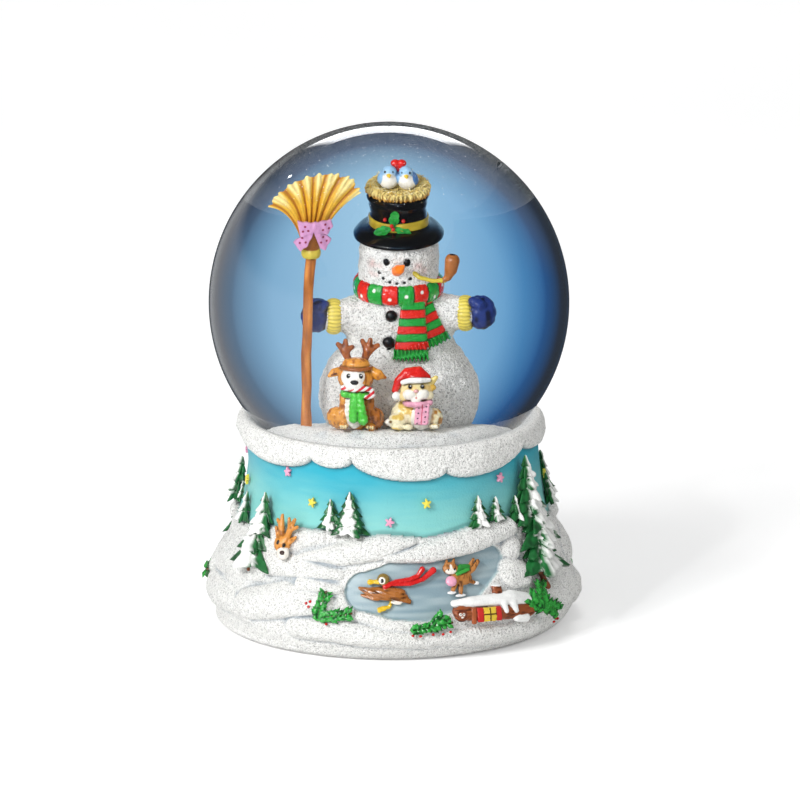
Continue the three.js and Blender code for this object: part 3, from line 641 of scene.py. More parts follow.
BACK_DRIFTS = [
    ([(78, 29), (96, 32), (114, 33)], (2.2, 3.6, 2.0), 1.7),
    ([(112, 29), (128, 31.5), (142, 30)], (2.0, 3.6, 2.2), 1.9),
    ([(70, 20), (88, 22), (104, 20)], (3.4, 4.6, 2.6), 1.9),
    ([(100, 12), (120, 15), (138, 12)], (4.0, 5.2, 3.4), 2.0),
    ([(-80, 29), (-96, 31.5), (-112, 31)], (2.4, 3.6, 2.2), 1.7),
    ([(-108, 27), (-126, 30), (-142, 31)], (2.0, 3.8, 2.6), 1.9),
    ([(-76, 14), (-92, 18), (-110, 16)], (3.4, 5.0, 3.0), 1.9),
    ([(-104, 10), (-124, 12), (-144, 10)], (3.4, 4.6, 3.4), 1.8),
    ([(72, 8), (92, 7)], (4.4, 4.0), 1.6),
]
POND = ([(-6.5, 19.8), (2, 20.2), (9, 20.0), (20, 21.8), (30, 26.0)], (5.2, 7.6, 8.0, 6.4, 3.8))


def flat_limb(s, z, points, radii):
    """Distance on the unrolled surface to a rounded bar."""
    points = [(*p, 0) for p in points]
    if len(points) == 1:
        points, radii = points * 2, tuple(radii) * 2
        points[1] = (points[1][0] + 0.01, points[1][1], 0)
    flat = np.stack([s.ravel(), z.ravel(), np.zeros(s.size)], axis=1)
    return limb(points, radii)(flat).reshape(s.shape)


def pillow(d, radius, rise):
    """Height of a rounded drift, from the distance to its edge."""
    t = np.clip(-d / radius, 0, 1)
    return rise * np.sqrt(1 - (1 - t) ** 2)


def base_relief(angle, z):
    """How far the surface stands out, and how much of it is ice, sky and snow."""
    s = angle * WRAP_RADIUS
    points = polar(angle, WRAP_RADIUS, z).reshape(-1, 3)
    wander = noise(points, 9).reshape(z.shape)
    under_collar = z - COLLAR(angle)
    under_hill = HORIZON(angle) + 0.4 * wander - z
    collar = pillow(-under_collar, 2.6, 2.3) + 0.4 * wander * smooth(under_collar, 0, 3)
    hill = pillow(-under_hill, 2.2, 1.4) + 0.25 * wander * smooth(under_hill, 0, 3)
    relief = np.where(under_collar > 0, collar, np.where(under_hill > 0, hill, 0))
    ice = smooth(-flat_limb(s, z, *POND), -0.1, 0.3)
    relief = relief * (1 - ice) + 0.5 * ice
    snow = np.where((under_collar > 0) | (under_hill > 0), 1.0, 0.0) * (1 - ice)
    for points, radii, rise in FRONT_DRIFTS + BACK_DRIFTS:
        d = flat_limb(s, z, points, radii) + 0.35 * wander
        drift = 0.8 + pillow(d, max(radii) * 0.9, 1.35 * rise)
        over = (d < 0) & (drift > relief)
        relief = np.where(over, drift, relief)
        snow = np.where(over, 1.0, snow)
        ice = np.where(over, 0.0, ice)
    return relief, ice, snow


def left_side(angle):
    """1 at the far left, 0 at the front, the right and the back."""
    return np.maximum(-np.sin(angle), 0) ** 1.5


def base_shape(angle, z, radius):
    """Radius of the outside with its relief and sugar grain."""
    relief, ice, snow = base_relief(angle, z)
    fade = smooth(z, 0.6, 3.6)
    points = polar(angle, radius, z).reshape(-1, 3)
    grain = noise(points, 0.8).reshape(z.shape) * 0.17 + noise(points, 2.1).reshape(z.shape) * 0.16
    slim = left_side(angle) * (SLIM - 1.7 * smooth(z, 44, 56)) * fade
    return radius - slim + fade * (relief - 0.9) + snow * grain * fade, relief, ice, snow


def blurred(grid, reach):
    for axis in (0, 1):
        grid = sum(np.roll(grid, k, axis) for k in range(-reach, reach + 1)) / (2 * reach + 1)
    return grid


def outside_profile():
    fine = rounded(BASE_OUTLINE, 40)
    steps = np.concatenate([[0], np.cumsum(np.linalg.norm(np.diff(fine, axis=0), axis=1))])
    even = np.linspace(0, steps[-1], 196)
    return np.stack([np.interp(even, steps, fine[:, k]) for k in (0, 1)], axis=1)


OUTSIDE = outside_profile()


def outside_radius(z):
    return np.interp(z, OUTSIDE[:, 1], OUTSIDE[:, 0])


def base_paint(angle, z, ice, snow, hollow):
    points = polar(angle, WRAP_RADIUS, z).reshape(-1, 3)
    streak = noise(points * (0.35, 0.35, 2.4), 2.2).reshape(z.shape)
    cloud = noise(points, 14).reshape(z.shape)
    level = smooth(z + 2.5 * cloud, 34, 54)
    sky = mix(linear(SKY_LOW), linear(SKY_TOP), level + 0.08 * streak)
    # painted shade where the surface lies below its blurred surroundings, in creases and under the collar
    # and drifts: blue-grey on the snow, darker on the ice and on the sky
    white = mix(linear(SNOW), linear(SHADE), 0.7 * smooth(hollow, 0.15, 0.9))
    frozen = mix(linear(ICE), linear("#a9bbc0"), 0.5 + 0.6 * streak)
    frozen = mix(frozen, linear("#5e7987"), 0.3 * smooth(hollow, 0.3, 0.9))
    colour = mix(sky * (1 - 0.35 * smooth(hollow, 0.15, 0.8))[..., None], white, snow)
    return mix(colour, frozen, ice)


def painted_base():
    """The resin base: painted relief outside, a seat for the ball and a hollow for the movement."""
    angle, radius = np.meshgrid(around(BASE_COLUMNS), OUTSIDE[:, 0])
    z = np.broadcast_to(OUTSIDE[:, 1][:, None], radius.shape)
    shaped, relief, ice, snow = base_shape(angle, z, radius)
    # how far each point lies below its blurred surroundings, which sets the painted shade in creases
    wide = blurred(relief, 6)
    wide[:7], wide[-7:] = relief[:7], relief[-7:]
    colours = base_paint(angle, z, ice, snow, wide - relief)
    seat_radius = BALL_RADIUS + 0.3
    seat = [(math.sqrt(seat_radius**2 - (BALL_Z - h) ** 2), h) for h in np.linspace(58.4, 50.9, 12)]
    inner = [(31.1, 50.4), (31.1, 41.7), (12, 41.7), (12, 37.7), (35.5, 37.7), (35.5, 12.5), (40.4, 12.5),
             (40.4, 0.9), (42, 0.25)]
    inside = lathe(seat + inner, BASE_COLUMNS)
    sugar = np.concatenate([snow, np.ones(inside.shape[:2])])
    points = np.concatenate([polar(angle, shaped, z), inside])
    hidden = inside[..., 2:] < 50.5
    colours = np.concatenate([colours, np.where(hidden, linear("#c9c8c2"), linear("#dfe2e2"))])
    faces = grid_faces(points.shape[0], BASE_COLUMNS, close_rows=True)
    obj = make("painted_base", points.reshape(-1, 3), faces, colours.reshape(-1, 3), sugar=sugar)
    dress(obj, SUGAR, "painted_base", "resin_base")


def wrapped(sculpt, at, lift, tilt=0.0, scale=1.0):
    """Lays a sculpted relief (points as across, out, up) on the outside of the base."""
    points, quads, colours = sculpt
    across, depth, up = (points * scale).T
    turn = math.radians(tilt)
    s = at[0] + across * math.cos(turn) - up * math.sin(turn)
    z = at[1] + across * math.sin(turn) + up * math.cos(turn)
    angle = s / WRAP_RADIUS
    return polar(angle, outside_radius(z) - SLIM * left_side(angle) + lift - depth, z), quads, colours


# ---------- glass and water ----------
GLASS_IOR = 1.5
WETTED_IOR = 1.127  # of glass, as seen from water


def glass_material(name, ior, tint):
    m = Nodes(name)
    m.tree.nodes.remove(m.shader)
    glass = m.node("ShaderNodeBsdfGlass", {"Color": tint, "Roughness": 0.0, "IOR": ior})
    clear = m.node("ShaderNodeBsdfTransparent")
    path = m.node("ShaderNodeLightPath").outputs
    seen = {0: path["Is Shadow Ray"], 1: path["Is Diffuse Ray"]}
    either = m.node("ShaderNodeMath", seen, operation="MAXIMUM").outputs[0]
    mixed = m.node("ShaderNodeMixShader", {0: either, 1: glass.outputs[0], 2: clear.outputs[0]})
    m.surface(mixed.outputs[0])
    return m.material


def ball_profile(radius, neck, foot_z):
    """Profile of the ball and its neck, from the top down to a flat foot."""
    low = BALL_Z - math.sqrt(radius**2 - neck**2)
    start = math.acos((low - BALL_Z) / radius)
    arc = [(radius * math.sin(t), BALL_Z + radius * math.cos(t)) for t in np.linspace(0.004, start, 150)]
    return arc + [(neck, z) for z in np.linspace(low, foot_z, 6)[1:]] + [(0.05, foot_z)]


def glass_globe():
    """The blown ball, with its water: an outer face of glass and an inner face wetted by the water."""
    columns, stopper_top = 256, GLASS_LOW[2] + 5.6
    outer = lathe(ball_profile(BALL_RADIUS, NECK_RADIUS, GLASS_LOW[2]), columns)
    inner = lathe(ball_profile(BALL_RADIUS - WALL, NECK_RADIUS - WALL, stopper_top), columns)
    rows = len(outer)
    faces = grid_faces(rows, columns)
    # the outer rows run downwards, so their quads face in; the inner ones are left facing in, to the water
    shell = make("globe_glass", np.concatenate([outer, inner]).reshape(-1, 3),
                 np.concatenate([faces[:, ::-1], faces + rows * columns]))
    blown = glass_material("blown glass", GLASS_IOR, (0.985, 0.99, 0.995, 1))
    wetted = glass_material("wetted glass", WETTED_IOR, (0.985, 0.993, 1, 1))
    dress(shell, blown, "glass", "glass_globe", "water_fill")
    shell.data.materials.append(wetted)
    index = np.concatenate([np.zeros(len(faces)), np.ones(len(faces))]).astype(np.int32)
    shell.data.polygons.foreach_set("material_index", index)
    return shell


# ---------- snowman and its clothes, about the middle of the snowman's foot ----------
SNOWMAN = foot("snowman")
RING_HEIGHT = 29.4
RING_RADIUS = 8.35


def walls(across, along):
    """Distance to a form bounded by two walls at right angles."""
    outside = np.hypot(np.maximum(across, 0), np.maximum(along, 0))
    return outside + np.minimum(np.maximum(across, along), 0)


def can(at, radius, half, soft, squash=1.0):
    """A rounded upright drum."""
    at = np.array(at)

    def distance(p):
        q = p - at
        out = np.hypot(q[:, 0], q[:, 1] / squash) - radius + soft
        up = np.abs(q[:, 2]) - half + soft
        return walls(out, up) - soft

    return distance


def snow_body():
    return [
        ball((0, 0, 6.8), (16.4, 13.3, 14), SNOW),
        ball((0, 0, 21), (11, 9.6, 9.6), SNOW, 2.5),
        bar([(-6, 0, 23.4), (-13.2, -2.3, 23.4)], (4.3, 3.5), SNOW, 2.2),
        bar([(6, 0, 24.1), (13.8, -2.3, 24.1)], (4.2, 3.4), SNOW, 2.2),
        add(can((0, 0, 34.1), 8.5, 7.9, 4.6), SNOW, 0.8),
    ]


BODY_SHAPE = shape_of(snow_body())


def front_of(shape, x, z, start=-20.0):
    """Depth at which a shape's front surface lies, at a place across and up."""
    depth = start
    for _ in range(60):
        gap = shape(np.array([[x, depth, z]]))[0]
        depth += max(gap, 0.0) * 0.8
    return depth


def on_body(x, z, sink=0.0):
    return (x, front_of(BODY_SHAPE, x, z) + sink, z)


def snowman():
    smile = [(-4.1, 34.5), (-3.2, 33.3), (-1.8, 32.5), (-0.3, 32.2), (1.3, 32.4), (2.7, 33.2)]
    nose = [on_body(-0.2, 35.1, 0.3), (0.4, -9.9, 35.9), (1.3, -11.6, 37.2)]
    coal = [(x, z, 0.1, (0.42, 0.4, 0.36)) for x, z in smile]
    coal += [(-2.5, 37.1, 0.1, (0.76, 0.6, 0.86)), (2.0, 37.0, 0.1, (0.76, 0.6, 0.86))]
    coal += [(-1.5, 25.0, -0.35, (1.3, 1.1, 1.3)), (-2.1, 19.3, -0.8, (1.3, 1.1, 1.3))]
    parts = snow_body()
    parts += [spot(on_body(x, 35.2), (2.0, 3.0, 1.8), blush, 1.0) for x in (-5.3, 4.8)]
    smooth_parts = [ball(on_body(x, z, sink), radii, COAL, 0.0) for x, z, sink, radii in coal]
    smooth_parts.append(bar(nose, (1.2, 1.1, 0.35), carrot, 0.15))
    bare = shape_of(smooth_parts)

    def sugar(p):
        grain = 0.2 * noise(p, 0.8) + 0.15 * noise(p, 2.0) + 0.3 * noise(p, 6.0)
        return grain * smooth(bare(p), 0.0, 0.4)

    parts += smooth_parts
    points, quads, colours = sculpture(parts, (-19, -15, -0.6), (19, 14.5, 43), 0.25, sugar, hollow_shade=0.22)
    obj = make("snowman_sculpt", points + SNOWMAN, quads, colours, sugar=smooth(bare(points), 0.0, 0.3))
    dress(obj, SUGAR, "painted_snow", "snowman")


def blush(p):
    return tone(SNOW, "#efb9b4", 0.3 + 0.4 * noise(p, 1.2))


def carrot(p):
    # orange, darker towards the underside of the root end: painted shade
    return tone("#ff7d10", "#c8500a", 0.5 * smooth(-p[:, 2], -35.6, -34.0))


def strap(top, bottom, top_half, bottom_half):
    """Distance to a tapering strip seen from the front, and how far along it each point lies, in mm."""
    top, bottom = np.array(top, float), np.array(bottom, float)
    length = np.linalg.norm(bottom - top)
    along = (bottom - top) / length
    side = np.array([along[1], -along[0]])

    def place(p):
        q = p[:, [0, 2]] - top
        return q @ along, q @ side

    def distance(p):
        t, across = place(p)
        half = top_half + (bottom_half - top_half) * np.clip(t / length, 0, 1)
        return np.maximum(np.maximum(np.abs(across) - half, -t), t - length)

    return distance, place, length


def laid_on(shape, region, thick, depth_limit=0.0):
    """A strip of cloth of a given thickness laid over the front of a shape."""
    def distance(p):
        cloth = np.maximum(np.abs(shape(p) - thick / 2) - thick / 2, p[:, 1] - depth_limit)
        return -melt(-cloth, -region(p), 0.5)

    return distance


SCARF_GREEN = "#27a43e"
SCARF_RED = "#e0281a"
SEAM = "#1c2a14"
STRIPE = 1.72  # width of a stripe across a tail
BLOCK = 22.5  # degrees of a block round the neck
TAIL_FRINGE, SIDE_FRINGE = 2.2, 2.1


def near_whole(value, outer, inner):
    """1 within `inner` of a whole number, 0 beyond `outer`: a line between two stripes."""
    return smooth(-np.abs(value - np.round(value)), -outer, -inner)


def tail_paint(place, length, fringe):
    """Cross stripes of red and green, with dark lines between them and a green fringe."""
    def paint(p):
        t = place(p)[0] + 0.12 * noise(p, 1.5)
        stripe = (length - fringe - t) / STRIPE
        red = (np.floor(stripe) % 2 == 0) & (t < length - fringe)
        colour = np.where(red[:, None], linear(SCARF_RED), linear(SCARF_GREEN))
        line = near_whole(stripe, 0.1, 0.03) * (t < length - fringe + 0.2)
        return mix(colour, linear(SEAM), 0.85 * line)

    return paint


def ring_angle(p):
    return np.degrees(np.arctan2(p[:, 0], -p[:, 1]))


def ring_paint(p):
    """Blocks of red and green round the neck, a dark line between them and a white dot on each."""
    turn = ring_angle(p) / BLOCK
    block = np.floor(turn)
    colour = np.where((block % 2 != 0)[:, None], linear(SCARF_RED), linear(SCARF_GREEN))
    colour = mix(colour, linear(SEAM), 0.9 * near_whole(turn, 0.06, 0.025))
    high = RING_HEIGHT + 1.0 * np.sin(block * 2.4)
    dot = np.hypot((turn - block - 0.5) * 3.6, p[:, 2] - high)
    return mix(colour, linear("#f5f5f0"), smooth(-dot, -0.46, -0.34))


def scarf():
    """A knitted ring with two tails down the front."""
    front, front_place, front_length = strap((3.3, 28.2), (2.8, 15.6), 2.45, 3.95)
    side, side_place, side_length = strap((5.7, 28.4), (8.9, 18.2), 1.2, 2.3)
    tails = ((front_place, front_length, TAIL_FRINGE), (side_place, side_length, SIDE_FRINGE))
    loop = ring((0, 0, RING_HEIGHT), RING_RADIUS, 1.25, 2.25)
    parts = [
        add(laid_on(BODY_SHAPE, side, 0.8), tail_paint(side_place, side_length, SIDE_FRINGE)),
        add(laid_on(BODY_SHAPE, front, 1.5), tail_paint(front_place, front_length, TAIL_FRINGE), 0.1),
        add(loop, ring_paint, 0.2),
    ]

    def knit(p):
        turn = ring_angle(p) / BLOCK
        near_ring = smooth(-loop(p), -0.6, 0.0)
        seam = near_whole(turn, 0.07, 0.0) * near_ring
        texture = 0.1 * noise(p, 0.45) * near_ring + 0.16 * seam
        for place, length, fringe in tails:
            t, across = place(p)
            below = smooth(t, length - fringe, length - fringe + 0.3) * (1 - near_ring)
            stripe = (length - fringe - t) / STRIPE
            line = near_whole(stripe, 0.12, 0.0) * (t > 0) * (t < length - fringe + 0.2)
            texture = texture + below * 0.2 * np.cos(across * 7.5) + 0.1 * line * (1 - near_ring)
        return texture

    sculpt = sculpture(parts, (-10.4, -13.5, 14.8), (13, 10.4, 32.3), 0.16, knit)
    stand_in("scarf_sculpt", "scarf", SNOWMAN, sculpt, GLOSSY, "scarf_paint")


MITTEN = "#20377f"
CUFF = "#ecd95e"
CUFF_RIBS = 26


def mitten(name, node, side, height):
    """A mitten with its thumb and a ribbed cuff. `side` is -1 for the arm with the broom."""
    wrist, palm = (13.7, 17.5) if side < 0 else (14.2, 17.7)
    cuff_at = np.array((side * wrist, -2.35, height))
    hand = np.array((side * palm, -2.7, height + 0.3))
    thumb = hand + (side * -0.4, -1.6, 2.2)
    navy = fur(MITTEN, "#0d1638", (1, 1, 1), 1.3)
    parts = [
        ball(hand, (3.3, 2.9, 3.7), navy),
        ball(thumb, (2.3, 1.6, 1.4), navy, 0.1, (0, side * 24, 0)),
        add(ring(cuff_at, 2.95, 0.85, 1.45, (0, 90, 0)), cuff_paint(cuff_at), 0.1),
    ]

    def ribs(p):
        spoke = np.arctan2(p[:, 2] - cuff_at[2], p[:, 1] - cuff_at[1])
        near = smooth(-np.abs(p[:, 0] - cuff_at[0]), -2.0, -1.5)
        wool = 0.22 * noise(p, 2.2) + 0.14 * noise(p, 0.8)
        return near * 0.07 * np.cos(spoke * CUFF_RIBS) + (1 - near) * wool

    room = (3.8, 4.4, 4.8)
    low, high = np.minimum(cuff_at, hand) - room, np.maximum(cuff_at, hand) + room
    stand_in(name, node, SNOWMAN, sculpture(parts, low, high, 0.17, ribs), SATIN, "navy_paint")


def cuff_paint(at):
    def paint(p):
        spoke = np.arctan2(p[:, 2] - at[2], p[:, 1] - at[1])
        # painted shade: darker in the grooves that the rib relief sinks into the cuff
        return tone(CUFF, "#8f7a1c", 0.45 * smooth(np.cos(spoke * CUFF_RIBS), 0.2, 1.0))

    return paint


# ---------- hat, nest, birds and heart ----------
HAT = foot("top_hat")
HAT_OUTLINE = [
    (0.01, 2.4), (5.5, 2.3), (8.0, 1.3), (9.5, 0.1), (9.75, 0.3), (9.6, 0.9), (8.4, 2.2), (6.9, 3.2),
    (6.35, 3.8), (6.25, 5.4), (6.2, 6.6), (6.35, 7.8), (6.7, 9.1), (6.9, 10.0), (6.75, 10.7), (6.2, 11.0),
    (5.2, 10.9), (0.01, 10.6),
]


def hat_form(angle, radius, z):
    """Leans the brim forward a little and dents the crown as soft felt would be."""
    crown = smooth(z, 4.5, 9)
    tilt = -0.055 * radius * np.cos(angle) * (1 - crown) * smooth(radius, 6, 9)
    dent = 0.16 * np.sin(3 * angle + 0.8) + 0.1 * np.sin(5 * angle + 2)
    dent = dent + 0.14 * np.sin(1.9 * z + 4 * angle) * np.cos(2.3 * angle - z)
    return radius + dent * crown * smooth(radius, 2, 6), z + tilt + 0.75 * smooth(radius, 6, 9)


def top_hat():
    band = [(6.2, 3.4), (6.62, 3.7), (6.66, 4.5), (6.62, 5.3), (6.2, 5.5), (6.0, 4.5), (6.2, 3.4)]
    dip = lambda angle, radius, z: (radius, z + 0.12 * np.sin(3 * angle))
    black = turned_mesh(rounded(HAT_OUTLINE, 9), 160, "#0a0a0c", hat_form)
    ribbon = turned_mesh(rounded(band, 8)[:-1], 160, band_paint, dip, close=True)
    stand_in("hat_sculpt", "top_hat", HAT, joined([black, ribbon]), LACQUER, "black_paint")


def band_paint(p):
    return tone("#d6bd3e", "#9c8420", 0.5 + 0.5 * noise(p, 1.4))


def leaf(at, length, width, turn, curl=0.06):
    """A holly leaf with points along its edge, lying across the front."""
    at, axes = np.array(at), spin(turn)

    def distance(p):
        q = (p - at) @ axes
        t = np.clip(q[:, 0] / length, 0, 1)
        points = 0.72 + 0.28 * np.abs(np.cos(2.5 * math.pi * t)) ** 0.7
        half = width * np.sin(math.pi * t) ** 0.6 * points
        rib = 0.1 * np.exp(-((q[:, 2] / 0.14) ** 2))
        sheet = np.abs(q[:, 1] - curl * q[:, 2] ** 2 * 3) - 0.18 + rib
        edge = np.maximum(np.abs(q[:, 2]) - half, np.abs(q[:, 0] - length / 2) - length / 2)
        return 0.6 * np.maximum(edge, sheet)

    return distance


def leaf_paint(p):
    return tone("#36b548", "#12702a", 0.5 + 0.5 * noise(p, 0.7))


def hat_holly():
    """Three leaves and four berries on the front of the band."""
    y = -6.75
    leaves = [
        leaf((-1.3, y, 4.4), 4.3, 1.25, (0, -80, 0)),
        leaf((-1.5, y, 4.2), 4.2, 1.2, (0, 168, 8)),
        leaf((-0.9, y, 4.3), 4.1, 1.2, (0, 22, 8)),
    ]
    parts = [add(one, leaf_paint, 0) for one in leaves]
    berries = [(-1.5, y - 0.2, 4.9), (-1.15, y - 0.25, 4.1), (-3.0, -5.95, 6.1), (1.15, -6.4, 5.9)]
    parts += [ball(at, (0.45, 0.45, 0.5), "#c5241c", 0) for at in berries]
    sculpt = sculpture(parts, (-6.4, -8.2, 1.8), (3.8, -5.0, 9.4), 0.08, reach=0.3)
    stand_in("hat_holly", None, HAT + (0, 0, 0.4), sculpt, GLOSSY, "red_paint")


def straws(count, radius, height, seed):
    """Short bent straws laid round a ring, as three-sided bars."""
    rng = np.random.default_rng(seed)
    points, quads, colours = [], [], []
    for _ in range(count):
        turn = rng.uniform(0, 2 * math.pi)
        middle = np.array((radius * math.sin(turn), -radius * math.cos(turn), height))
        middle = middle + rng.normal(0, 0.42, 3)
        heading = np.array((math.cos(turn), math.sin(turn), 0)) * rng.choice((-1, 1))
        outward = np.array((math.sin(turn), -math.cos(turn), 0))
        heading = heading * rng.uniform(0.1, 1) + outward * rng.uniform(-0.9, 0.9)
        heading = heading + (0, 0, rng.uniform(-0.3, 0.7))
        heading /= np.linalg.norm(heading)
        length, thick = rng.uniform(1.2, 2.4), rng.uniform(0.1, 0.17)
        side = np.cross(heading, (0.2, 0.3, 0.9))
        side /= np.linalg.norm(side)
        other = np.cross(heading, side)
        spokes = [side, -0.5 * side + 0.87 * other, -0.5 * side - 0.87 * other]
        ends = [middle + heading * length * (t - 0.5) + (0, 0, 0.15 * math.sin(t * 3.1))
                for t in (0, 0.5, 1)]
        sizes = (0.6 * thick, thick, 0.35 * thick)
        start = len(points) * 9
        points.append([end + spoke * size for end, size in zip(ends, sizes) for spoke in spokes])
        for row in (0, 3):
            for k in range(3):
                quads.append([start + row + k, start + row + (k + 1) % 3,
                              start + row + 3 + (k + 1) % 3, start + row + 3 + k])
        yellow = tone("#e2b848", "#faeeb8", np.array(rng.uniform(0, 1)))
        colours.append(np.tile(yellow, (9, 1)))
    points = np.concatenate([np.array(p) for p in points])
    return points, np.array(quads), np.concatenate(colours)


def nest_paint(p):
    ridge = noise(p * (1, 1, 0.3), 0.45)
    colour = tone("#c98a26", "#f4df8e", smooth(p[:, 2], 0.2, 1.7) + 0.4 * ridge)
    return mix(colour, linear("#7a4a12"), 0.6 * smooth(-ridge, 0.25, 0.8))


def bird_nest():
    parts = [
        add(ring((0, 0, 1.1), 5.6, 1.5, 1.15), nest_paint),
        ball((0, 0, 0.6), (5.8, 5.8, 0.9), nest_paint, 0.6),
    ]

    def frayed(p):
        spoke = np.arctan2(p[:, 1], p[:, 0])
        return 0.2 * np.cos(spoke * 46 + 3 * noise(p, 1.5)) + 0.28 * noise(p, 0.6)

    bowl = sculpture(parts, (-8, -8, -0.9), (8, 8, 3.2), 0.15, frayed)
    whole = joined([bowl, straws(420, 5.9, 1.7, 4)])
    stand_in("nest_sculpt", "bird_nest", foot("bird_nest"), whole, STRAW, "straw_paint")


def bluebird(name, node, side):
    """A small round bird. `side` is -1 for the one on the left."""
    at = foot(node) + (-0.35 * side - 0.35, 0, -0.6)
    blue, pale_wing, white = "#9cc6e6", "#8fb9de", "#efede6"
    wing = "#4c7cb8" if side > 0 else pale_wing
    parts = [
        ball((0.1 * side, 0.2, 1.6), (1.95, 1.8, 2.1), white),
        ball((-0.1 * side, -0.3, 3.9), (1.4, 1.35, 1.4), blue, 0.6),
        ball((1.45 * side, 0.5, 2.0), (0.85, 1.6, 1.5), wing, 0.15, (0, side * -18, 0)),
        ball((-1.4 * side, 0.7, 2.0), (0.8, 1.5, 1.4), pale_wing, 0.15),
        spot((0, -1.7, 2.6), (1.25, 1.4, 1.35), white, 0.2),
        spot((1.3 * side, 1.2, 3.2), (1.2, 1.2, 1.4), wing, 0.2),
        bar([(0, -1.45, 3.45), (0.1, -2.3, 3.2)], (0.5, 0.12), "#e9c63a", 0.05),
        ball((-0.78, -1.25, 4.15), (0.26, 0.2, 0.3), COAL, 0),
        ball((0.72, -1.3, 4.15), (0.26, 0.2, 0.3), COAL, 0),
    ]
    feathers = lambda p: 0.04 * noise(p, 0.35)
    sculpt = sculpture(parts, (-3.2, -3.2, -0.6), (3.2, 3.2, 5.8), 0.09, feathers, reach=0.35)
    stand_in(name, node, at, sculpt, SATIN, "pale_blue_paint", 1.12)


def heart():
    at = foot("heart") + (0, 0, -0.5)
    lobes = [limb([(x, 0, 1.7), (0.1 * x, 0, -0.7)], (1.05, 0.15)) for x in (-0.78, 0.78)]
    parts = [add(lobe, "#e01d16", 0.35) for lobe in lobes]
    sculpt = sculpture(parts, (-2.3, -1.5, -1.3), (2.3, 1.5, 3.2), 0.07, reach=0.25, hollow_shade=0.25)
    stand_in("heart_sculpt", "heart", at, sculpt, GLOSSY, "red_paint")


def tobacco_pipe():
    stem, wood = "#d0bd3c", "#a8642c"
    stem_line = [(-5.4, 0.5, 3.0), (-3.9, -0.6, 2.0), (-1.0, -0.9, 1.3), (1.6, -0.4, 1.2)]
    bowl_line = [(1.4, -0.4, 1.2), (2.5, -0.1, 1.9), (3.2, 0, 3.7), (3.6, 0, 5.7)]
    parts = [
        bar(stem_line, (0.62, 0.5, 0.45, 0.5), stem),
        bar(bowl_line, (0.55, 0.85, 1.45, 1.7), wood, 0.3),
        carve(egg((3.8, 0.2, 8.0), (0.95, 0.95, 1.3)), "#2a1408", 0.2),
    ]
    grain = lambda p: 0.04 * noise(p, 0.8)
    sculpt = sculpture(parts, (-6.4, -3, -0.4), (5.6, 3, 8.2), 0.11, grain, reach=0.4)
    at = foot("tobacco_pipe")
    stand_in("pipe_sculpt", "tobacco_pipe", at, sculpt, SATIN, "brown_paint")


# ---------- broom ----------
FAN_FOOT = 41.4


def bezier(a, b, c, d, t):
    return a * (1 - t) ** 3 + 3 * b * t * (1 - t) ** 2 + 3 * c * t**2 * (1 - t) + d * t**3


def broom_fan():
    """The brush: bristles in deep folds that rise from the ferrule, spread, and droop at the left tip."""
    columns, rows = 460, 90
    turn, t = turns_and_heights(columns, rows)
    u = -np.cos(turn)
    face = np.sin(turn)
    fold = np.abs(np.sin(11.5 * u + 0.7 * np.sin(5 * u) + 0.5)) ** 0.9
    fine = np.sin(61 * u + 4 * t) * 0.5 + 0.5
    reach = 1 + 0.035 * (fold - 0.6) + 0.02 * (fine - 0.5) + 0.012 * np.sin(37 * u)
    end_x = 0.1 + 11.5 * np.sin(1.36 * u) / math.sin(1.36)
    end_z = 52.2 + 8.2 * np.cos(1.36 * u) + 1.7 * u - 1.3 * smooth(u, 0.6, 1.0)
    x = bezier(0.5 + 2.0 * u, 0.4 + 3.0 * u, 0.4 + 5.6 * u, end_x, t * reach)
    z = bezier(FAN_FOOT, 45.2, 50.6 + 3.2 * (1 - u**2), end_z, t * reach)
    spread = np.sin(np.pi * np.clip(0.18 + 0.8 * t, 0, 1)) ** 0.5
    depth = (1.35 + 0.55 * t) * spread * (0.5 + 0.62 * fold * smooth(t, 0.08, 0.4)) + 0.05 * fine
    depth = depth * smooth(1 - t, -0.02, 0.10)
    waist = 1 - 0.2 * np.exp(-((t - 0.33) / 0.09) ** 2)
    points = np.stack([x, -depth * face * waist, z], axis=-1).reshape(-1, 3)
    # The straw runs from orange near the ferrule to yellow at the tips. Painted light on the folds: lighter
    # crests, a cream painted highlight high on the crests, ochre painted shade in the fold valleys and the
    # fine grooves.
    colour = mix(linear("#d0821c"), linear("#e6b42c"), smooth(t + 0.2 * fold, 0.3, 0.85))
    sunlit = smooth(t + 0.4 * (fold - 0.7), 0.74, 1.0) * smooth(fold, 0.3, 0.9)
    colour = mix(colour, linear("#f6e79c"), 0.9 * sunlit)
    colour = mix(colour, linear("#a8600f"), 0.9 * smooth(-fold, -0.62, -0.1) * smooth(t, 0.12, 0.4))
    colour = mix(colour, linear("#b8771e"), 0.35 * smooth(fine, 0.6, 0.1))
    top = (rows - 1) * columns
    other = lambda k: top + (columns - k) % columns
    close = [[top + k, top + k + 1, other(k + 1), other(k)] for k in range(columns // 2 - 1)]
    return points, np.concatenate([grid_faces(rows, columns), close]), colour.reshape(-1, 3)


def stick_paint(p):
    grain = noise(p * (1, 1, 0.12), 0.6)
    base = tone("#c9772e", "#8f4f1a", 0.35 + 0.6 * grain)
    return mix(base, linear("#dd9a4a"), 0.6 * smooth(-grain, 0.2, 0.9))


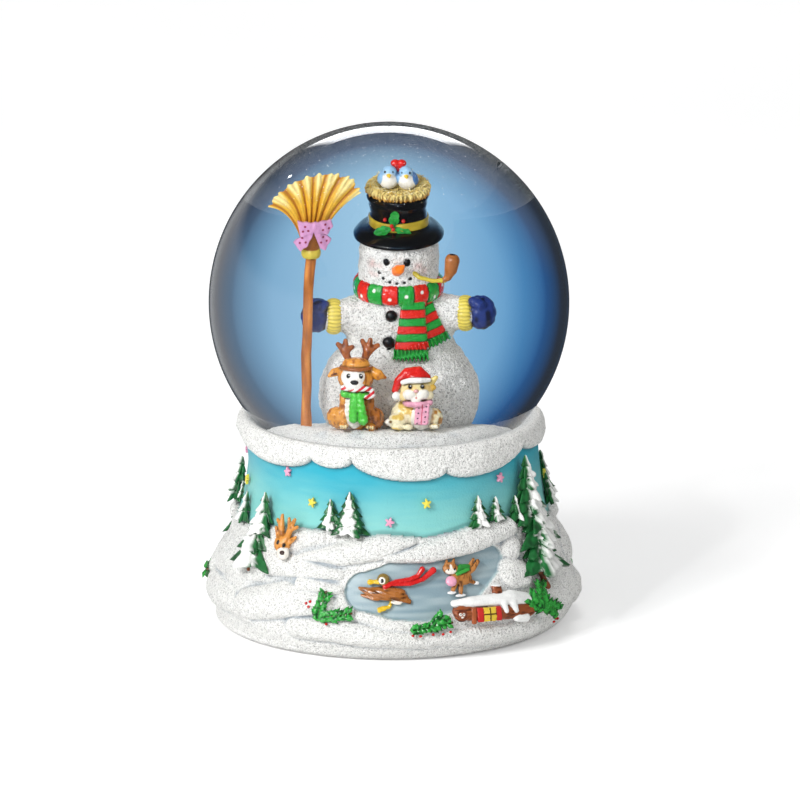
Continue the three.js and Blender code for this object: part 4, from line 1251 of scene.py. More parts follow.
def broom():
    """A whittled stick, a yellow ferrule and the brush."""
    bends = [(0.1, 0, -0.5), (0.35, 0, 8), (0.15, 0, 16), (0.5, 0, 24), (0.3, 0, 31), (0.75, 0, 39)]
    parts = [
        bar(bends, (1.22, 1.1, 1.14, 1.08, 1.16, 1.2), stick_paint),
        add(ring((0.7, 0, 39.6), 1.55, 0.75, 1.2), "#cdb944", 0.3),
        bar([(0.7, 0, 40.4), (0.5, 0, 45.0)], (1.9, 2.9), "#9a5c1c", 0.2),
    ]
    carved = lambda p: 0.12 * noise(p * (1, 1, 0.3), 1.5) + 0.05 * noise(p * (1, 1, 0.15), 0.4)
    handle = sculpture(parts, (-3.6, -3.4, -0.7), (4.4, 3.4, 47.5), 0.16, carved, reach=0.4)
    whole = joined([handle, broom_fan()])
    stand_in("broom_sculpt", "broom", foot("broom"), whole, STRAW, "straw_paint")


def panel(corners, depth, thick):
    """Distance to a flat piece with straight edges, seen from the front, corners going clockwise."""
    corners = np.array(corners, float)

    def distance(p):
        q = p[:, [0, 2]]
        edges = []
        for a, b in zip(corners, np.roll(corners, -1, axis=0)):
            along = (b - a) / np.linalg.norm(b - a)
            edges.append((q - a) @ np.array([-along[1], along[0]]))
        flat = np.max(edges, axis=0)
        return walls(flat, np.abs(p[:, 1] - depth) - thick) - 0.15

    return distance


def broom_bow():
    """A spotted ribbon tied round the neck of the broom."""
    lilac, dark = "#cc93bf", "#86123c"
    left = [(-4.8, 5.9), (-0.9, 5.6), (-0.9, 3.4), (-4.0, 2.3)]
    right = [(-0.9, 5.7), (3.0, 6.0), (3.6, 4.4), (2.5, 2.7), (-0.9, 3.4)]
    left_tail = [(-2.0, 3.6), (-0.9, 3.2), (-2.2, -0.2), (-3.7, -1.5), (-5.4, 0.3)]
    right_tail = [(-0.9, 3.4), (0.4, 3.6), (3.4, 0.9), (2.2, -1.4), (1.0, -1.0)]
    bent = lambda p: p - np.outer(0.055 * (p[:, 0] + 0.9) ** 2, (0, 1, 0))
    shaped = lambda d: (lambda p: d(bent(p)))
    sheets = [(left_tail, -0.1, 0.22), (right_tail, -0.1, 0.22), (left, -0.75, 0.35), (right, -0.75, 0.35)]
    parts = [add(shaped(panel(*sheet)), lilac, 0.05) for sheet in sheets]
    parts.append(ball((-0.9, -0.95, 4.5), (0.6, 0.6, 1.1), lilac, 0.3))
    for x, z, size in ((-3.0, 4.1, 0.75), (2.0, 4.4, 0.85), (-3.4, 0.9, 0.8), (1.7, 1.0, 0.8)):
        for turn in (100, 220, 340):
            across, up = size * math.cos(math.radians(turn)), size * math.sin(math.radians(turn))
            parts.append(spot((x + across, -1.0, z + up), (0.3, 2.5, 0.3), dark, 0.08))
    folds = lambda p: 0.09 * np.sin(3.1 * p[:, 0] + 1.2 * p[:, 2])
    sculpt = sculpture(parts, (-6.4, -2.6, -2.4), (4.6, 3.0, 7.0), 0.09, folds, reach=0.3)
    stand_in("bow_sculpt", "broom_bow", foot("broom_bow"), sculpt, SATIN, "lilac_paint")


# ---------- dog ----------
def fur(light, dark, stretch=(1, 1, 0.4), size=0.55):
    def paint(p):
        lock = noise(p * stretch, size)
        return tone(light, dark, smooth(lock, -0.1, 0.7))

    return paint


def antler(side, base, tips):
    """One palm-shaped antler with its points."""
    base, middle = np.array(base), np.array((base[0] + side * 0.7, base[1], base[2] + 1.9))
    paint = fur("#a05726", "#6b3416")
    bars = [bar([base, middle], (0.75, 1.05), paint, 0.3)]
    bars += [bar([middle, tip], (0.95, 0.52), paint, 0.25) for tip in tips]
    return bars


def candy(p):
    """Slanting red and white stripes."""
    band = np.sin((p[:, 0] * 0.9 - p[:, 2] * 1.1) * 3.6)
    return tone("#f5f3f0", "#d3202a", smooth(band, -0.15, 0.15))


def dog():
    """A sitting puppy in a cap with antlers, a striped cane in its mouth and a green scarf."""
    coat, pale = fur("#e39a3a", "#a55c18"), "#f3efe6"
    dark_coat = fur("#b36a26", "#6e3a12")
    green = "#4fca3e"
    parts = [
        ball((0.2, 1.0, 5.0), (3.6, 3.0, 5.4), coat),
        ball((-4.0, 0.4, 2.6), (2.5, 2.7, 2.7), coat, 0.5),
        ball((4.2, 0.4, 2.6), (2.2, 2.6, 2.7), dark_coat, 0.5),
        bar([(-2.3, -0.6, 8.0), (-2.9, -1.5, 0.9)], (1.2, 0.95), coat, 0.5),
        bar([(2.9, -0.6, 8.2), (3.1, -1.5, 0.9)], (1.2, 0.95), dark_coat, 0.5),
        ball((-0.6, -1.2, 4.6), (2.2, 1.9, 4.6), pale, 0.5),
        ball((-3.0, -2.1, 0.7), (1.2, 1.5, 0.85), coat, 0.3),
        ball((3.2, -2.1, 0.7), (1.2, 1.5, 0.85), coat, 0.3),
        ball((0.0, -0.6, 12.0), (4.0, 3.3, 3.3), coat, 0.6),
        ball((-0.45, -2.2, 12.4), (2.85, 2.2, 2.4), pale, 0.5),
        ball((-0.5, -3.0, 10.6), (2.2, 1.7, 1.45), pale, 0.5),
        ball((-1.35, -3.6, 10.3), (1.0, 0.9, 0.85), pale, 0.25),
        ball((0.35, -3.6, 10.3), (1.0, 0.9, 0.85), pale, 0.25),
        ball((-0.45, -4.3, 11.45), (0.85, 0.6, 0.6), COAL, 0.1),
        ball((-1.75, -4.0, 12.95), (0.5, 0.35, 0.55), COAL, 0.05),
        ball((1.0, -4.0, 12.95), (0.5, 0.35, 0.55), COAL, 0.05),
        spot((-1.62, -4.4, 13.2), (0.14, 0.3, 0.14), BRIGHT_WHITE, 0.05),
        spot((1.13, -4.4, 13.2), (0.14, 0.3, 0.14), BRIGHT_WHITE, 0.05),
        bar([(-3.2, -0.4, 13.6), (-4.8, -0.9, 13.3), (-6.0, -1.2, 12.5)], (1.0, 0.95, 0.4), coat, 0.3),
        bar([(3.0, -0.4, 13.8), (4.9, -1.0, 12.9), (6.5, -1.2, 12.3)], (1.2, 1.25, 0.4), coat, 0.3),
        carve(limb([(-4.2, -2.2, 12.9), (-5.4, -2.2, 12.6)], 0.6), "#6f3a12", 0.3),
        ball((0.1, -0.5, 15.2), (3.1, 2.8, 1.6), coat, 0.2),
        add(ring((0.1, -0.6, 14.6), 3.25, 0.45, 0.4, (4, 0, 0)), "#a05a22", 0.15),
        bar([(-3.0, -2.9, 10.0), (-0.4, -4.0, 9.75), (2.1, -3.6, 10.0), (3.5, -3.1, 9.6),
             (3.7, -3.2, 8.4), (2.5, -3.5, 7.9)],
            0.62, candy, 0.05),
        add(ring((0.2, -0.4, 8.6), 2.75, 0.85, 0.75, (8, 0, 0)), green, 0.15),
        ball((-2.3, -2.7, 8.5), (1.15, 0.9, 0.85), green, 0.15),
        bar([(-0.4, -3.3, 8.4), (-0.7, -3.6, 5.4), (-0.7, -3.5, 2.6)], (0.8, 0.95, 1.05), green, 0.1),
        bar([(0.7, -3.3, 8.4), (1.1, -3.7, 5.4), (1.4, -3.7, 2.3)], (0.8, 0.95, 1.1), green, 0.1),
    ]
    parts += antler(-1, (-1.6, 0, 16.2), [(-3.9, -0.1, 19.6), (-2.2, 0, 20.4), (-0.7, 0, 19.0)])
    parts += antler(1, (2.0, 0, 16.2), [(1.5, 0, 20.4), (3.3, 0, 20.6), (4.9, -0.1, 19.4)])
    for side in (-1, 1):
        for toe in (-0.55, 0, 0.55):
            parts.append(ball((side * 3.1 + toe, -3.4, 0.5), (0.3, 0.35, 0.45), "#f1dda6", 0.12))

    def coat_relief(p):
        low = smooth(-p[:, 2], -9.5, -7.5)
        locks = 0.16 * noise(p * (1, 1, 0.45), 0.6) * (0.25 + 0.75 * low)
        return locks + 0.05 * np.sin(p[:, 2] * 5.2) * low

    sculpt = sculpture(parts, (-7.4, -5.4, -0.4), (7.6, 5.2, 21.6), 0.125, coat_relief, reach=0.4)
    stand_in("dog_sculpt", "dog", foot("dog"), sculpt, GLOSSY, "brown_paint", 1.05)


# ---------- cat ----------
def patches(p):
    """Cream fur with yellow and tan patches."""
    yellow = tone("#f6ecc6", "#e3bf54", 0.9 * smooth(noise(p, 1.5), 0.0, 0.5))
    return mix(yellow, linear("#b97d2a"), smooth(p[:, 0], 3.0, 4.6) * smooth(noise(p, 0.8), -0.3, 0.5))


def cat():
    """A kitten in a red cap and a spotted pink scarf."""
    pale, pink, red = "#f6f1e6", "#eea9c0", "#d9211a"
    parts = [
        ball((-1.0, 1.0, 3.6), (4.2, 2.9, 3.6), patches),
        ball((-3.6, -0.6, 2.0), (2.3, 2.3, 2.1), patches, 0.5),
        ball((4.3, 0.0, 2.4), (2.0, 2.3, 2.5), patches, 0.5),
        ball((1.6, -1.0, 3.0), (2.6, 1.9, 3.2), pale, 0.5),
        bar([(-4.6, -0.6, 1.2), (-5.8, -1.4, 1.8)], (0.9, 0.75), pale, 0.3),
        spot((-5.3, -2.2, 1.9), (0.4, 0.6, 0.35), "#7a5a34", 0.15),
        ball((-3.6, -2.4, 0.6), (1.5, 1.1, 0.75), patches, 0.3),
        ball((-1.4, -2.7, 0.6), (1.2, 1.0, 0.75), patches, 0.3),
        ball((4.6, -2.2, 0.6), (1.2, 1.2, 0.7), patches, 0.3),
        ball((0.4, -0.7, 9.2), (3.7, 2.9, 2.8), fur("#f4e3a8", "#e9c57a", (1, 1, 1), 1.1), 0.5),
        ball((-1.0, -2.8, 8.4), (1.5, 1.2, 1.3), pale, 0.4),
        ball((1.7, -2.8, 8.4), (1.5, 1.2, 1.3), pale, 0.4),
        ball((-2.3, -1.8, 7.9), (1.3, 1.3, 1.1), "#efd79a", 0.4),
        ball((3.0, -1.8, 8.0), (1.3, 1.3, 1.1), "#f3e6c0", 0.4),
        ball((0.4, -3.0, 7.2), (1.2, 1.0, 0.9), pale, 0.3),
        ball((0.4, -3.8, 9.3), (0.5, 0.4, 0.4), "#efb3b4", 0.15),
        spot((0.45, -3.9, 7.7), (0.22, 0.8, 0.26), "#c06a62", 0.1),
        spot((0.4, -4.0, 8.45), (0.09, 0.8, 0.6), "#b9907c", 0.06),
        ball((-0.95, -3.4, 10.3), (0.48, 0.32, 0.52), COAL, 0.05),
        ball((1.8, -3.4, 10.3), (0.48, 0.32, 0.52), COAL, 0.05),
        spot((-0.83, -3.8, 10.5), (0.13, 0.3, 0.13), BRIGHT_WHITE, 0.05),
        spot((1.92, -3.8, 10.5), (0.13, 0.3, 0.13), BRIGHT_WHITE, 0.05),
        bar([(3.2, -0.9, 10.6), (4.7, -1.2, 12.0)], (1.0, 0.5), "#ecd37e", 0.2),
        ball((3.9, -1.5, 9.8), (0.85, 0.6, 0.75), "#d9ae48", 0.2),
        bar([(2.6, -0.6, 12.0), (0.8, -0.6, 13.2), (-1.6, -0.6, 12.9), (-3.5, -0.8, 11.3),
             (-4.3, -1.2, 9.2)],
            (0.9, 1.35, 1.35, 1.05, 0.75), red, 0.1),
        ball((0.3, -0.6, 12.2), (2.7, 2.2, 1.5), red, 0.3),
        bar([(-2.6, -2.6, 11.2), (-1.0, -3.3, 11.7), (1.4, -3.3, 11.7), (3.2, -2.3, 11.6)],
            (0.55, 0.65, 0.65, 0.5), "#f4f3ef", 0.1),
        ball((-4.0, -1.9, 7.9), (1.05, 1.0, 1.05), "#f4f3ef", 0.1),
        add(ring((0.7, -1.0, 6.3), 2.5, 0.85, 0.7, (6, 0, 0)), pink, 0.15),
        ball((3.2, -2.4, 6.4), (0.9, 0.6, 0.6), pink, 0.2),
        add(brick((1.75, -3.3, 3.7), (1.62, 0.42, 2.6), 0.35, (-4, 3, 0)), pink, 0.15),
        dab(brick((1.75, -3.8, 3.7), (0.1, 0.6, 2.4), 0.02, (-4, 3, 0)), "#c92b4a", 0.05),
    ]
    for row in range(4):
        for side in (-1, 1):
            at = (1.9 - 0.06 * row + side * 0.85 - 0.06 * row, -3.8, 5.4 - 1.25 * row + 0.15 * side)
            parts.append(spot(at, (0.2, 0.7, 0.2), COAL, 0.06))
    for toe in (-0.5, 0, 0.5):
        parts.append(ball((4.7 + toe, -3.3, 0.5), (0.27, 0.3, 0.4), "#faf3da", 0.12))
    relief = lambda p: 0.1 * noise(p, 0.55) * smooth(-p[:, 2], -7.5, -5.5) + 0.02 * noise(p, 0.4)
    sculpt = sculpture(parts, (-6.9, -5.0, -0.4), (7.0, 4.4, 15.0), 0.115, relief, reach=0.4)
    stand_in("cat_sculpt", "cat", foot("cat"), sculpt, GLOSSY, "cream_paint", 1.06)


# ---------- raised ornaments on the base ----------
PINE = "#1f7a3a"
DARK_PINE = "#0c3a1c"


def raised(name, sculpt, material):
    """A raised piece of the base's painted scene."""
    dress(make(name, *sculpt), material, "painted_base")


def pine(seed, at, height, width, layers, lift=0.4, snowy=0.6, drift=0.0):
    """A flattened fir with drooping, pointed layers and clumps of snow down its front."""
    rng = np.random.default_rng(seed)
    columns, rows = 72, layers * 13 + 1
    turn, t = turns_and_heights(columns, rows)
    layer = np.minimum(np.floor(t * layers), layers - 1)
    inside = t * layers - layer
    phase = rng.uniform(0, 2 * math.pi, layers)[layer.astype(int)]
    shrink = 0.3 + 0.7 * (1 - inside) ** 0.8
    tuck = 0.12  # share of a layer that draws in under the one below
    shrink = np.where(inside < tuck, inside / tuck * 0.75 + 0.25, shrink)
    points_out = 0.78 + 0.2 * np.cos(5 * turn + phase) + 0.12 * np.cos(9 * turn + 2.3 * phase)
    radius = width * ((1 - t) ** 0.75 * shrink * points_out * 1.4 + 0.02)
    radius[-1] = 0.01
    x = radius * np.sin(turn)
    y = -0.5 * radius * np.cos(turn)
    z = height * t - 0.32 * radius * (1 - inside) + 0.05 * height
    points = np.stack([x, y, z], axis=-1).reshape(-1, 3)
    uneven = noise(points + seed * 7.0, 1.1).reshape(t.shape)
    central = 1 - np.abs(x - drift * width * (1 - t)) / (width * (1 - t) * 0.72 + 0.12)
    snow = smooth(central + 0.5 * uneven + 0.7 * snowy - 0.75 + 0.2 * inside, 0.05, 0.25)
    snow = snow * smooth(-y, -0.4, 0.2)
    snow[0] = 0
    points[:, 1] -= (snow * (0.1 * width + 0.12) * (1 + 0.5 * uneven)).ravel()
    # painted shade: darker green towards the drooping lower edge and underside of each layer; the rest of
    # the change in green is at random
    green = tone(PINE, DARK_PINE, smooth(inside, 0.9, 0.2) * 0.4 + 0.5 * smooth(uneven, -0.2, 0.5))
    colour = mix(green, linear("#f1f2ef"), snow)
    last = columns - 1
    foot_faces = [[k, k + 1, last - k - 1, last - k] for k in range(columns // 2 - 1)]
    quads = np.concatenate([grid_faces(rows, columns)[:, ::-1], foot_faces])
    return wrapped((points, quads, colour.reshape(-1, 3)), at, lift)


def trees():
    """The firs round the base; those at the back follow the same style."""
    front = [
        ((-57, 31.4), 7.6, 3.2, 3), ((-63.5, 36), 4.6, 1.5, 3, 0.5, 0.3),
        ((-42.8, 31.6), 10.2, 4.8, 4, 1.3, 0.85), ((-43.5, 23.4), 11.0, 7.4, 3, 2.0, 0.6),
        ((-17.7, 36.2), 7.6, 3.3, 4), ((-11.6, 35.6), 10.6, 4.9, 5, 0.6),
        ((27.6, 35.9), 7.8, 3.4, 4, 0.4, 0.75), ((34.0, 36.6), 6.0, 2.7, 4, 0.4, 0.75),
        ((42.0, 35.4), 6.0, 3.2, 3, 0.6, 0.1), ((47.6, 34.2), 17.0, 6.4, 6, 1.4, 0.9, 0.3),
        ((48.0, 28.4), 10.4, 7.2, 3, 2.4, 0.95, 0.3), ((46.4, 21.6), 10.4, 7.6, 3, 2.7, 0.75, 0.2),
    ]
    back = [
        ((70, 33.5), 8.0, 3.0, 4), ((83, 33), 11.5, 4.4, 5), ((98, 35), 7.5, 2.8, 4),
        ((118, 34.5), 12.5, 4.8, 5, 0.8), ((132, 35), 8.0, 3.0, 4), ((-78, 33), 11.0, 4.4, 5, 0.8),
        ((-92, 34.5), 7.0, 2.7, 4), ((-109, 34), 12.0, 4.6, 5), ((-124, 36), 7.5, 3.0, 4),
        ((-138, 35.5), 10.5, 4.0, 5, 0.7), ((108, 18), 13.0, 5.4, 4, 2.2), ((-98, 19), 14.0, 5.6, 4, 2.2),
        ((144, 12), 9.0, 4.0, 4, 2.0),
    ]
    trunks = [
        ((46.6, 16.0), (-1.2, 4.4), 0.95), ((-43.6, 21.0), (-0.8, 3.0), 0.7),
        ((108, 15.4), (0, 3.2), 0.8), ((-98, 16.0), (0, 3.6), 0.8), ((144, 10), (0, 2.6), 0.7),
    ]
    firs = [pine(seed, *fir) for seed, fir in enumerate(front + back, 1)]
    raised("fir_trees", joined(firs + [trunk(*one) for one in trunks]), SATIN)


def trunk(at, top, radius):
    bark = fur("#8a4a22", "#4f2810", (1, 1, 0.3), 0.5)
    parts = [bar([(0, 0.2, 0), (top[0], 0, top[1])], (radius, radius * 0.8), bark)]
    rough = lambda p: 0.08 * noise(p * (1, 1, 0.3), 0.5)
    room = 1.4
    low = (min(0, top[0]) - room, -1.5, -room)
    high = (max(0, top[0]) + room, 1.5, top[1] + room)
    return wrapped(sculpture(parts, low, high, 0.16, rough), at, 1.7)


def star(at, colour, size=1.5):
    """A five-pointed star with its points a little rounded."""
    half = math.pi / 5  # from a point to the dip beside it

    def distance(p):
        reach = np.hypot(p[:, 0], p[:, 2])
        turn = np.abs((np.arctan2(p[:, 0], p[:, 2]) + 2 * math.pi) % (2 * half) - half) / half
        edge = size * (0.42 + 0.6 * turn**1.3)
        return np.maximum(0.55 * (reach - edge), np.abs(p[:, 1]) - 0.55 + 0.14 * reach)

    room = size + 0.4
    sculpt = sculpture([add(distance, colour)], (-room, -1, -room), (room, 1, room), 0.09, hollow_shade=0.1)
    return wrapped(sculpt, at, 0.1, tilt=(at[0] * 13) % 40 - 20)


def stars():
    yellow, pink = "#e8d84e", "#e9a0bd"
    places = [(-61, 41.8, yellow), (-24.2, 42.2, yellow), (11.2, 43.2, yellow), (71, 41, yellow),
              (-34.5, 49.2, pink), (0.2, 38.4, pink), (37, 47.4, pink)]
    places += [(88, 46, pink), (104, 42, yellow), (124, 46.5, pink), (140, 41, yellow),
               (-80, 46.5, pink), (-98, 43, yellow), (-118, 47, pink), (-134, 43, yellow)]
    raised("stars", joined([star((s, z), colour) for s, z, colour in places]), SATIN)


def deer():
    """A deer's head looking out from behind the fir."""
    coat = fur("#dd9440", "#a0601f", (1, 1, 1), 0.6)
    horn = fur("#d8903e", "#9c5c20", (1, 1, 1), 0.6)
    parts = [
        ball((0, 0, 0), (2.1, 1.5, 2.1), coat),
        ball((1.6, -0.8, -1.5), (1.45, 1.2, 1.35), "#efe9df", 0.6),
        ball((1.9, -1.9, -1.0), (0.55, 0.4, 0.42), "#3c241c", 0.05),
        ball((-0.3, -1.35, 0.35), (0.42, 0.3, 0.5), COAL, 0.05),
        ball((1.35, -1.35, 0.45), (0.4, 0.3, 0.48), COAL, 0.05),
        bar([(-1.7, 0.2, 0.9), (-3.2, 0, 2.3)], (0.75, 0.35), coat, 0.3),
        bar([(1.8, 0.2, 1.2), (2.9, 0, 2.6)], (0.65, 0.35), coat, 0.3),
        bar([(-0.9, 0, 1.6), (-1.8, -0.1, 3.4), (-2.5, 0, 5.4)], (0.75, 0.7, 0.4), horn, 0.3),
        bar([(-1.8, -0.1, 3.2), (-3.6, 0, 4.0)], (0.6, 0.35), horn, 0.3),
        bar([(0.8, 0, 1.7), (0.9, -0.1, 3.8), (1.2, 0, 6.0)], (0.75, 0.7, 0.4), horn, 0.3),
        bar([(0.9, -0.1, 3.6), (-0.4, 0, 5.6)], (0.6, 0.35), horn, 0.3),
        bar([(1.0, -0.1, 3.6), (2.5, 0, 4.8)], (0.55, 0.35), horn, 0.3),
    ]
    tufts = lambda p: 0.06 * noise(p, 0.45)
    sculpt = sculpture(parts, (-4.6, -3.2, -3.6), (4.0, 1.8, 7.8), 0.13, tufts, reach=0.4)
    raised("deer_head", wrapped(sculpt, (-31.6, 30.4), 2.4, tilt=-14, scale=1.25), SATIN)


def duck():
    """A duck sliding on the ice with its scarf flying."""
    brown = fur("#a9682f", "#5f3413", (0.5, 1, 2.0), 0.7)
    yellow, red = "#e5bd2c", "#cf1c1c"
    parts = [
        bar([(-7.2, 0, 1.6), (-4.4, 0, 0.6), (0, 0, 0.6), (3.4, 0, 0), (5.8, 0, -1.8)],
            (0.35, 1.25, 1.75, 1.7, 0.6), brown),
        bar([(-6.4, -0.2, -0.2), (-3.4, -0.4, -0.6), (0.5, -0.5, -0.4)], (0.4, 0.8, 0.9), brown, 0.15),
        ball((2.6, -0.3, -1.8), (1.5, 0.8, 0.7), "#efe9dd", 0.2),
        bar([(-0.4, -0.2, 3.2), (0.5, 0, 1.4)], 0.95, brown, 0.3),
        ball((-0.9, -0.5, 4.1), (1.7, 1.2, 1.6), "#8a7136", 0.2),
        spot((-1.2, -1.6, 4.0), (0.85, 0.8, 0.95), "#f4f1e6", 0.1),
        ball((-1.15, -1.6, 4.0), (0.42, 0.25, 0.55), COAL, 0.02),
        bar([(-2.2, -0.6, 3.5), (-3.4, -0.7, 3.5), (-4.4, -0.7, 3.4)], (0.7, 0.5, 0.75), yellow, 0.1),
        bar([(-0.4, -0.9, 2.4), (2.6, -0.8, 3.7), (6.0, -0.6, 4.1), (8.3, -0.6, 4.9), (9.6, -0.6, 6.6)],
            (0.7, 0.55, 0.55, 0.6, 0.75), red, 0.1),
        bar([(1.4, -0.7, 2.9), (6.2, -0.7, 3.0), (9.6, -0.7, 4.0), (12.6, -0.7, 6.2)],
            (0.5, 0.6, 0.6, 0.85), red, 0.1),
        bar([(1.2, -0.1, -1.6), (0.8, -0.3, -2.9), (-1.6, -0.5, -3.7)], (0.35, 0.45, 0.75), yellow, 0.1),
    ]
    feathers = lambda p: 0.07 * np.sin(p[:, 0] * 2.2 + p[:, 2] * 6.5) * smooth(-p[:, 2], -2.2, -1.2)
    sculpt = sculpture(parts, (-8.4, -2.8, -4.9), (14.2, 2.4, 7.8), 0.13, feathers, reach=0.4)
    raised("duck_relief", wrapped(sculpt, (-0.6, 19.2), 0.2), GLOSSY)


def kitten():
    """A kitten skating with its paws in a pink muff."""
    brown = fur("#b9793a", "#6b3d18", (1.6, 1, 0.6), 0.6)
    pale = "#f3ede2"
    parts = [
        ball((2.1, 0, -0.4), (2.9, 1.3, 1.9), brown),
        ball((-0.4, -0.2, 0.2), (1.6, 1.2, 1.7), brown, 0.4),
        ball((-1.6, -0.5, 2.9), (2.3, 1.4, 1.75), brown, 0.3),
        spot((-1.9, -1.7, 2.2), (1.7, 1.0, 0.95), pale, 0.15),
        spot((-1.7, -1.9, 3.3), (0.4, 0.8, 1.4), pale, 0.1),
        ball((-2.5, -1.6, 2.9), (0.3, 0.25, 0.35), COAL, 0.02),
        ball((-0.8, -1.7, 2.9), (0.3, 0.25, 0.35), COAL, 0.02),
        bar([(-2.6, -0.4, 4.0), (-2.4, -0.3, 5.2)], (0.65, 0.3), brown, 0.2),
        bar([(-0.6, -0.4, 4.1), (-0.1, -0.3, 5.4)], (0.65, 0.3), brown, 0.2),
        bar([(-0.2, -0.7, 1.9), (1.6, -0.7, 3.1), (4.0, -0.6, 3.0)], (0.7, 0.75, 0.6), "#2a8a34", 0.1),
        bar([(0.2, -0.9, 1.3), (2.2, -0.9, 1.9), (3.8, -0.8, 2.2)], (0.6, 0.65, 0.5), "#37a23c", 0.1),
        bar([(3.6, 0, 0.8), (5.6, -0.3, 2.0), (7.6, -0.2, 3.9)], (0.8, 0.75, 0.6), brown, 0.2),
        bar([(4.4, 0, 2.4), (6.2, -0.2, 4.6)], (0.6, 0.45), brown, 0.2),
        ball((-2.0, -1.3, -0.5), (1.6, 1.0, 1.45), "#eda6c0", 0.1),
        bar([(-0.2, -1.0, 0.2), (-1.2, -1.3, -0.3)], 0.55, brown, 0.1),
        bar([(-0.3, 0, -1.4), (-1.5, -0.2, -3.4)], (0.8, 0.55), brown, 0.2),
        bar([(1.2, 0, -1.6), (0.7, -0.3, -4.3)], (0.85, 0.55), brown, 0.2),
        bar([(3.8, 0, -1.2), (5.4, -0.2, -1.9)], (0.7, 0.5), brown, 0.2),
        ball((-1.9, -0.3, -3.9), (1.3, 0.6, 0.45), "#eef0f0", 0.1),
        ball((0.5, -0.4, -4.9), (1.6, 0.6, 0.45), "#eef0f0", 0.1),
        ball((5.9, -0.3, -2.1), (0.9, 0.5, 0.5), "#eef0f0", 0.1),
    ]
    tufts = lambda p: 0.05 * noise(p, 0.4)
    sculpt = sculpture(parts, (-4.8, -3.0, -5.9), (8.8, 2.0, 6.4), 0.12, tufts, reach=0.35)
    raised("kitten_relief", wrapped(sculpt, (18.2, 22.8), 0.5, scale=0.93), SATIN)


def cabin():
    """A hollow log made into a house: a shuttered window, snow on its roof, a stump for a chimney."""
    bark = fur("#9a4f26", "#552712", (0.4, 1, 1.6), 0.6)
    snow = "#f2f3f1"
    parts = [
        bar([(-7.6, 0, 0.6), (2, 0, 0.2), (12.4, 0.2, -0.4)], (2.3, 2.5, 2.3), bark),
        ball((-8.0, -1.4, 0.4), (2.0, 1.2, 2.2), bark, 0.2),
        carve(egg((-8.1, -2.9, 0.4), (1.45, 1.0, 1.65)), "#6b2d16", 0.15),
        ball((-8.2, -1.9, 0.1), (1.1, 0.7, 1.0), "#8e4c2c", 0.1),
        spot((-8.65, -2.6, 0.5), (0.36, 0.6, 0.42), "#f4f1ea", 0.05),
        spot((-7.75, -2.6, 0.5), (0.36, 0.6, 0.42), "#f4f1ea", 0.05),
        spot((-8.6, -2.7, 0.5), (0.16, 0.6, 0.2), COAL, 0.04),
        spot((-7.8, -2.7, 0.5), (0.16, 0.6, 0.2), COAL, 0.04),
        spot((-8.2, -2.7, -0.3), (0.36, 0.6, 0.3), "#f4f1ea", 0.05),
        add(brick((-0.9, -2.35, 0.1), (1.65, 0.4, 1.85), 0.15), "#e8c63a", 0.05),
        add(brick((-0.9, -2.75, 0.1), (0.14, 0.12, 1.85), 0.05), "#5d3a12", 0.02),
        add(brick((-0.9, -2.75, 0.2), (1.65, 0.12, 0.14), 0.05), "#5d3a12", 0.02),
        add(brick((-3.45, -2.35, 0.1), (0.78, 0.5, 1.9), 0.2), "#c9221c", 0.05),
        add(brick((1.6, -2.3, 0.1), (0.75, 0.5, 1.9), 0.2), "#c9221c", 0.05),
        add(brick((-5.0, -2.0, -0.2), (0.6, 0.5, 2.2), 0.3), "#a8552a", 0.1),
        bar([(-9.6, -0.4, 2.9), (-5.5, -0.9, 3.4), (1, -1.0, 3.5), (7, -0.9, 3.6), (12.4, -0.4, 2.6)],
            (0.9, 1.3, 1.6, 1.9, 1.5), snow, 0.2),
        bar([(3.5, -2.0, 2.6), (3.9, -2.3, 0.6)], (1.0, 0.6), snow, 0.3),
        bar([(6.4, -1.8, 2.6), (6.9, -2.2, 0.4)], (1.2, 0.7), snow, 0.3),
        bar([(7.6, -1.4, -2.0), (10.4, -1.4, -2.4)], (1.1, 1.3), snow, 0.4),
        add(can((3.0, -0.6, 5.9), 1.45, 1.1, 0.25, squash=0.8), bark, 0.15),
        add(can((3.0, -0.6, 7.1), 1.3, 0.3, 0.2, squash=0.8), snow, 0.1),
    ]
    rings = lambda p: 0.07 * noise(p * (0.4, 1, 1.6), 0.5)
    sculpt = sculpture(parts, (-11.2, -3.8, -4.4), (14.6, 3.2, 8.0), 0.14, rings, reach=0.4)
    raised("log_cabin", wrapped(sculpt, (25.6, 12.9), 0.9, tilt=-4, scale=0.98), SATIN)


def bough(at, paths, leaf_length, seed, berries, lift=2.2):
    """A sprig of evergreen with red berries beside it."""
    rng = np.random.default_rng(seed)
    green = fur("#35a340", "#105020", (1, 1, 1), 0.6)
    parts = []
    for path in paths:
        line = rounded([(x, 0, z) for x, z in path], 4)
        parts.append(bar(line, 0.32, "#6e4524", 0.1))
        for a, b in zip(line, line[1:]):
            heading = (b - a) / np.linalg.norm(b - a)
            across = np.array((-heading[2], 0, heading[0]))
            for side in (-1, 1):
                reach = 1.3 * leaf_length * rng.uniform(0.7, 1.1)
                tip = a + reach * (0.75 * heading + side * 0.75 * across)
                tip = tip + (0, rng.uniform(-1.0, 0.1), 0)
                middle = (a + tip) / 2 + (0, -0.25, 0)
                parts.append(bar([a, middle, tip], (0.3, 0.62, 0.12), green, 0.02))
    parts += [ball((x, -0.6, z), (0.4, 0.4, 0.4), "#c8201c", 0.05) for x, z in berries]
    corners = np.array([p for path in paths for p in path] + list(berries))
    room = leaf_length + 0.6
    left, bottom = corners.min(axis=0) - room
    right, top = corners.max(axis=0) + room
    low, high = (left, -2.2, bottom), (right, 1.4, top)
    return wrapped(sculpture(parts, low, high, 0.14, hollow_shade=0.75, reach=0.4), at, lift)


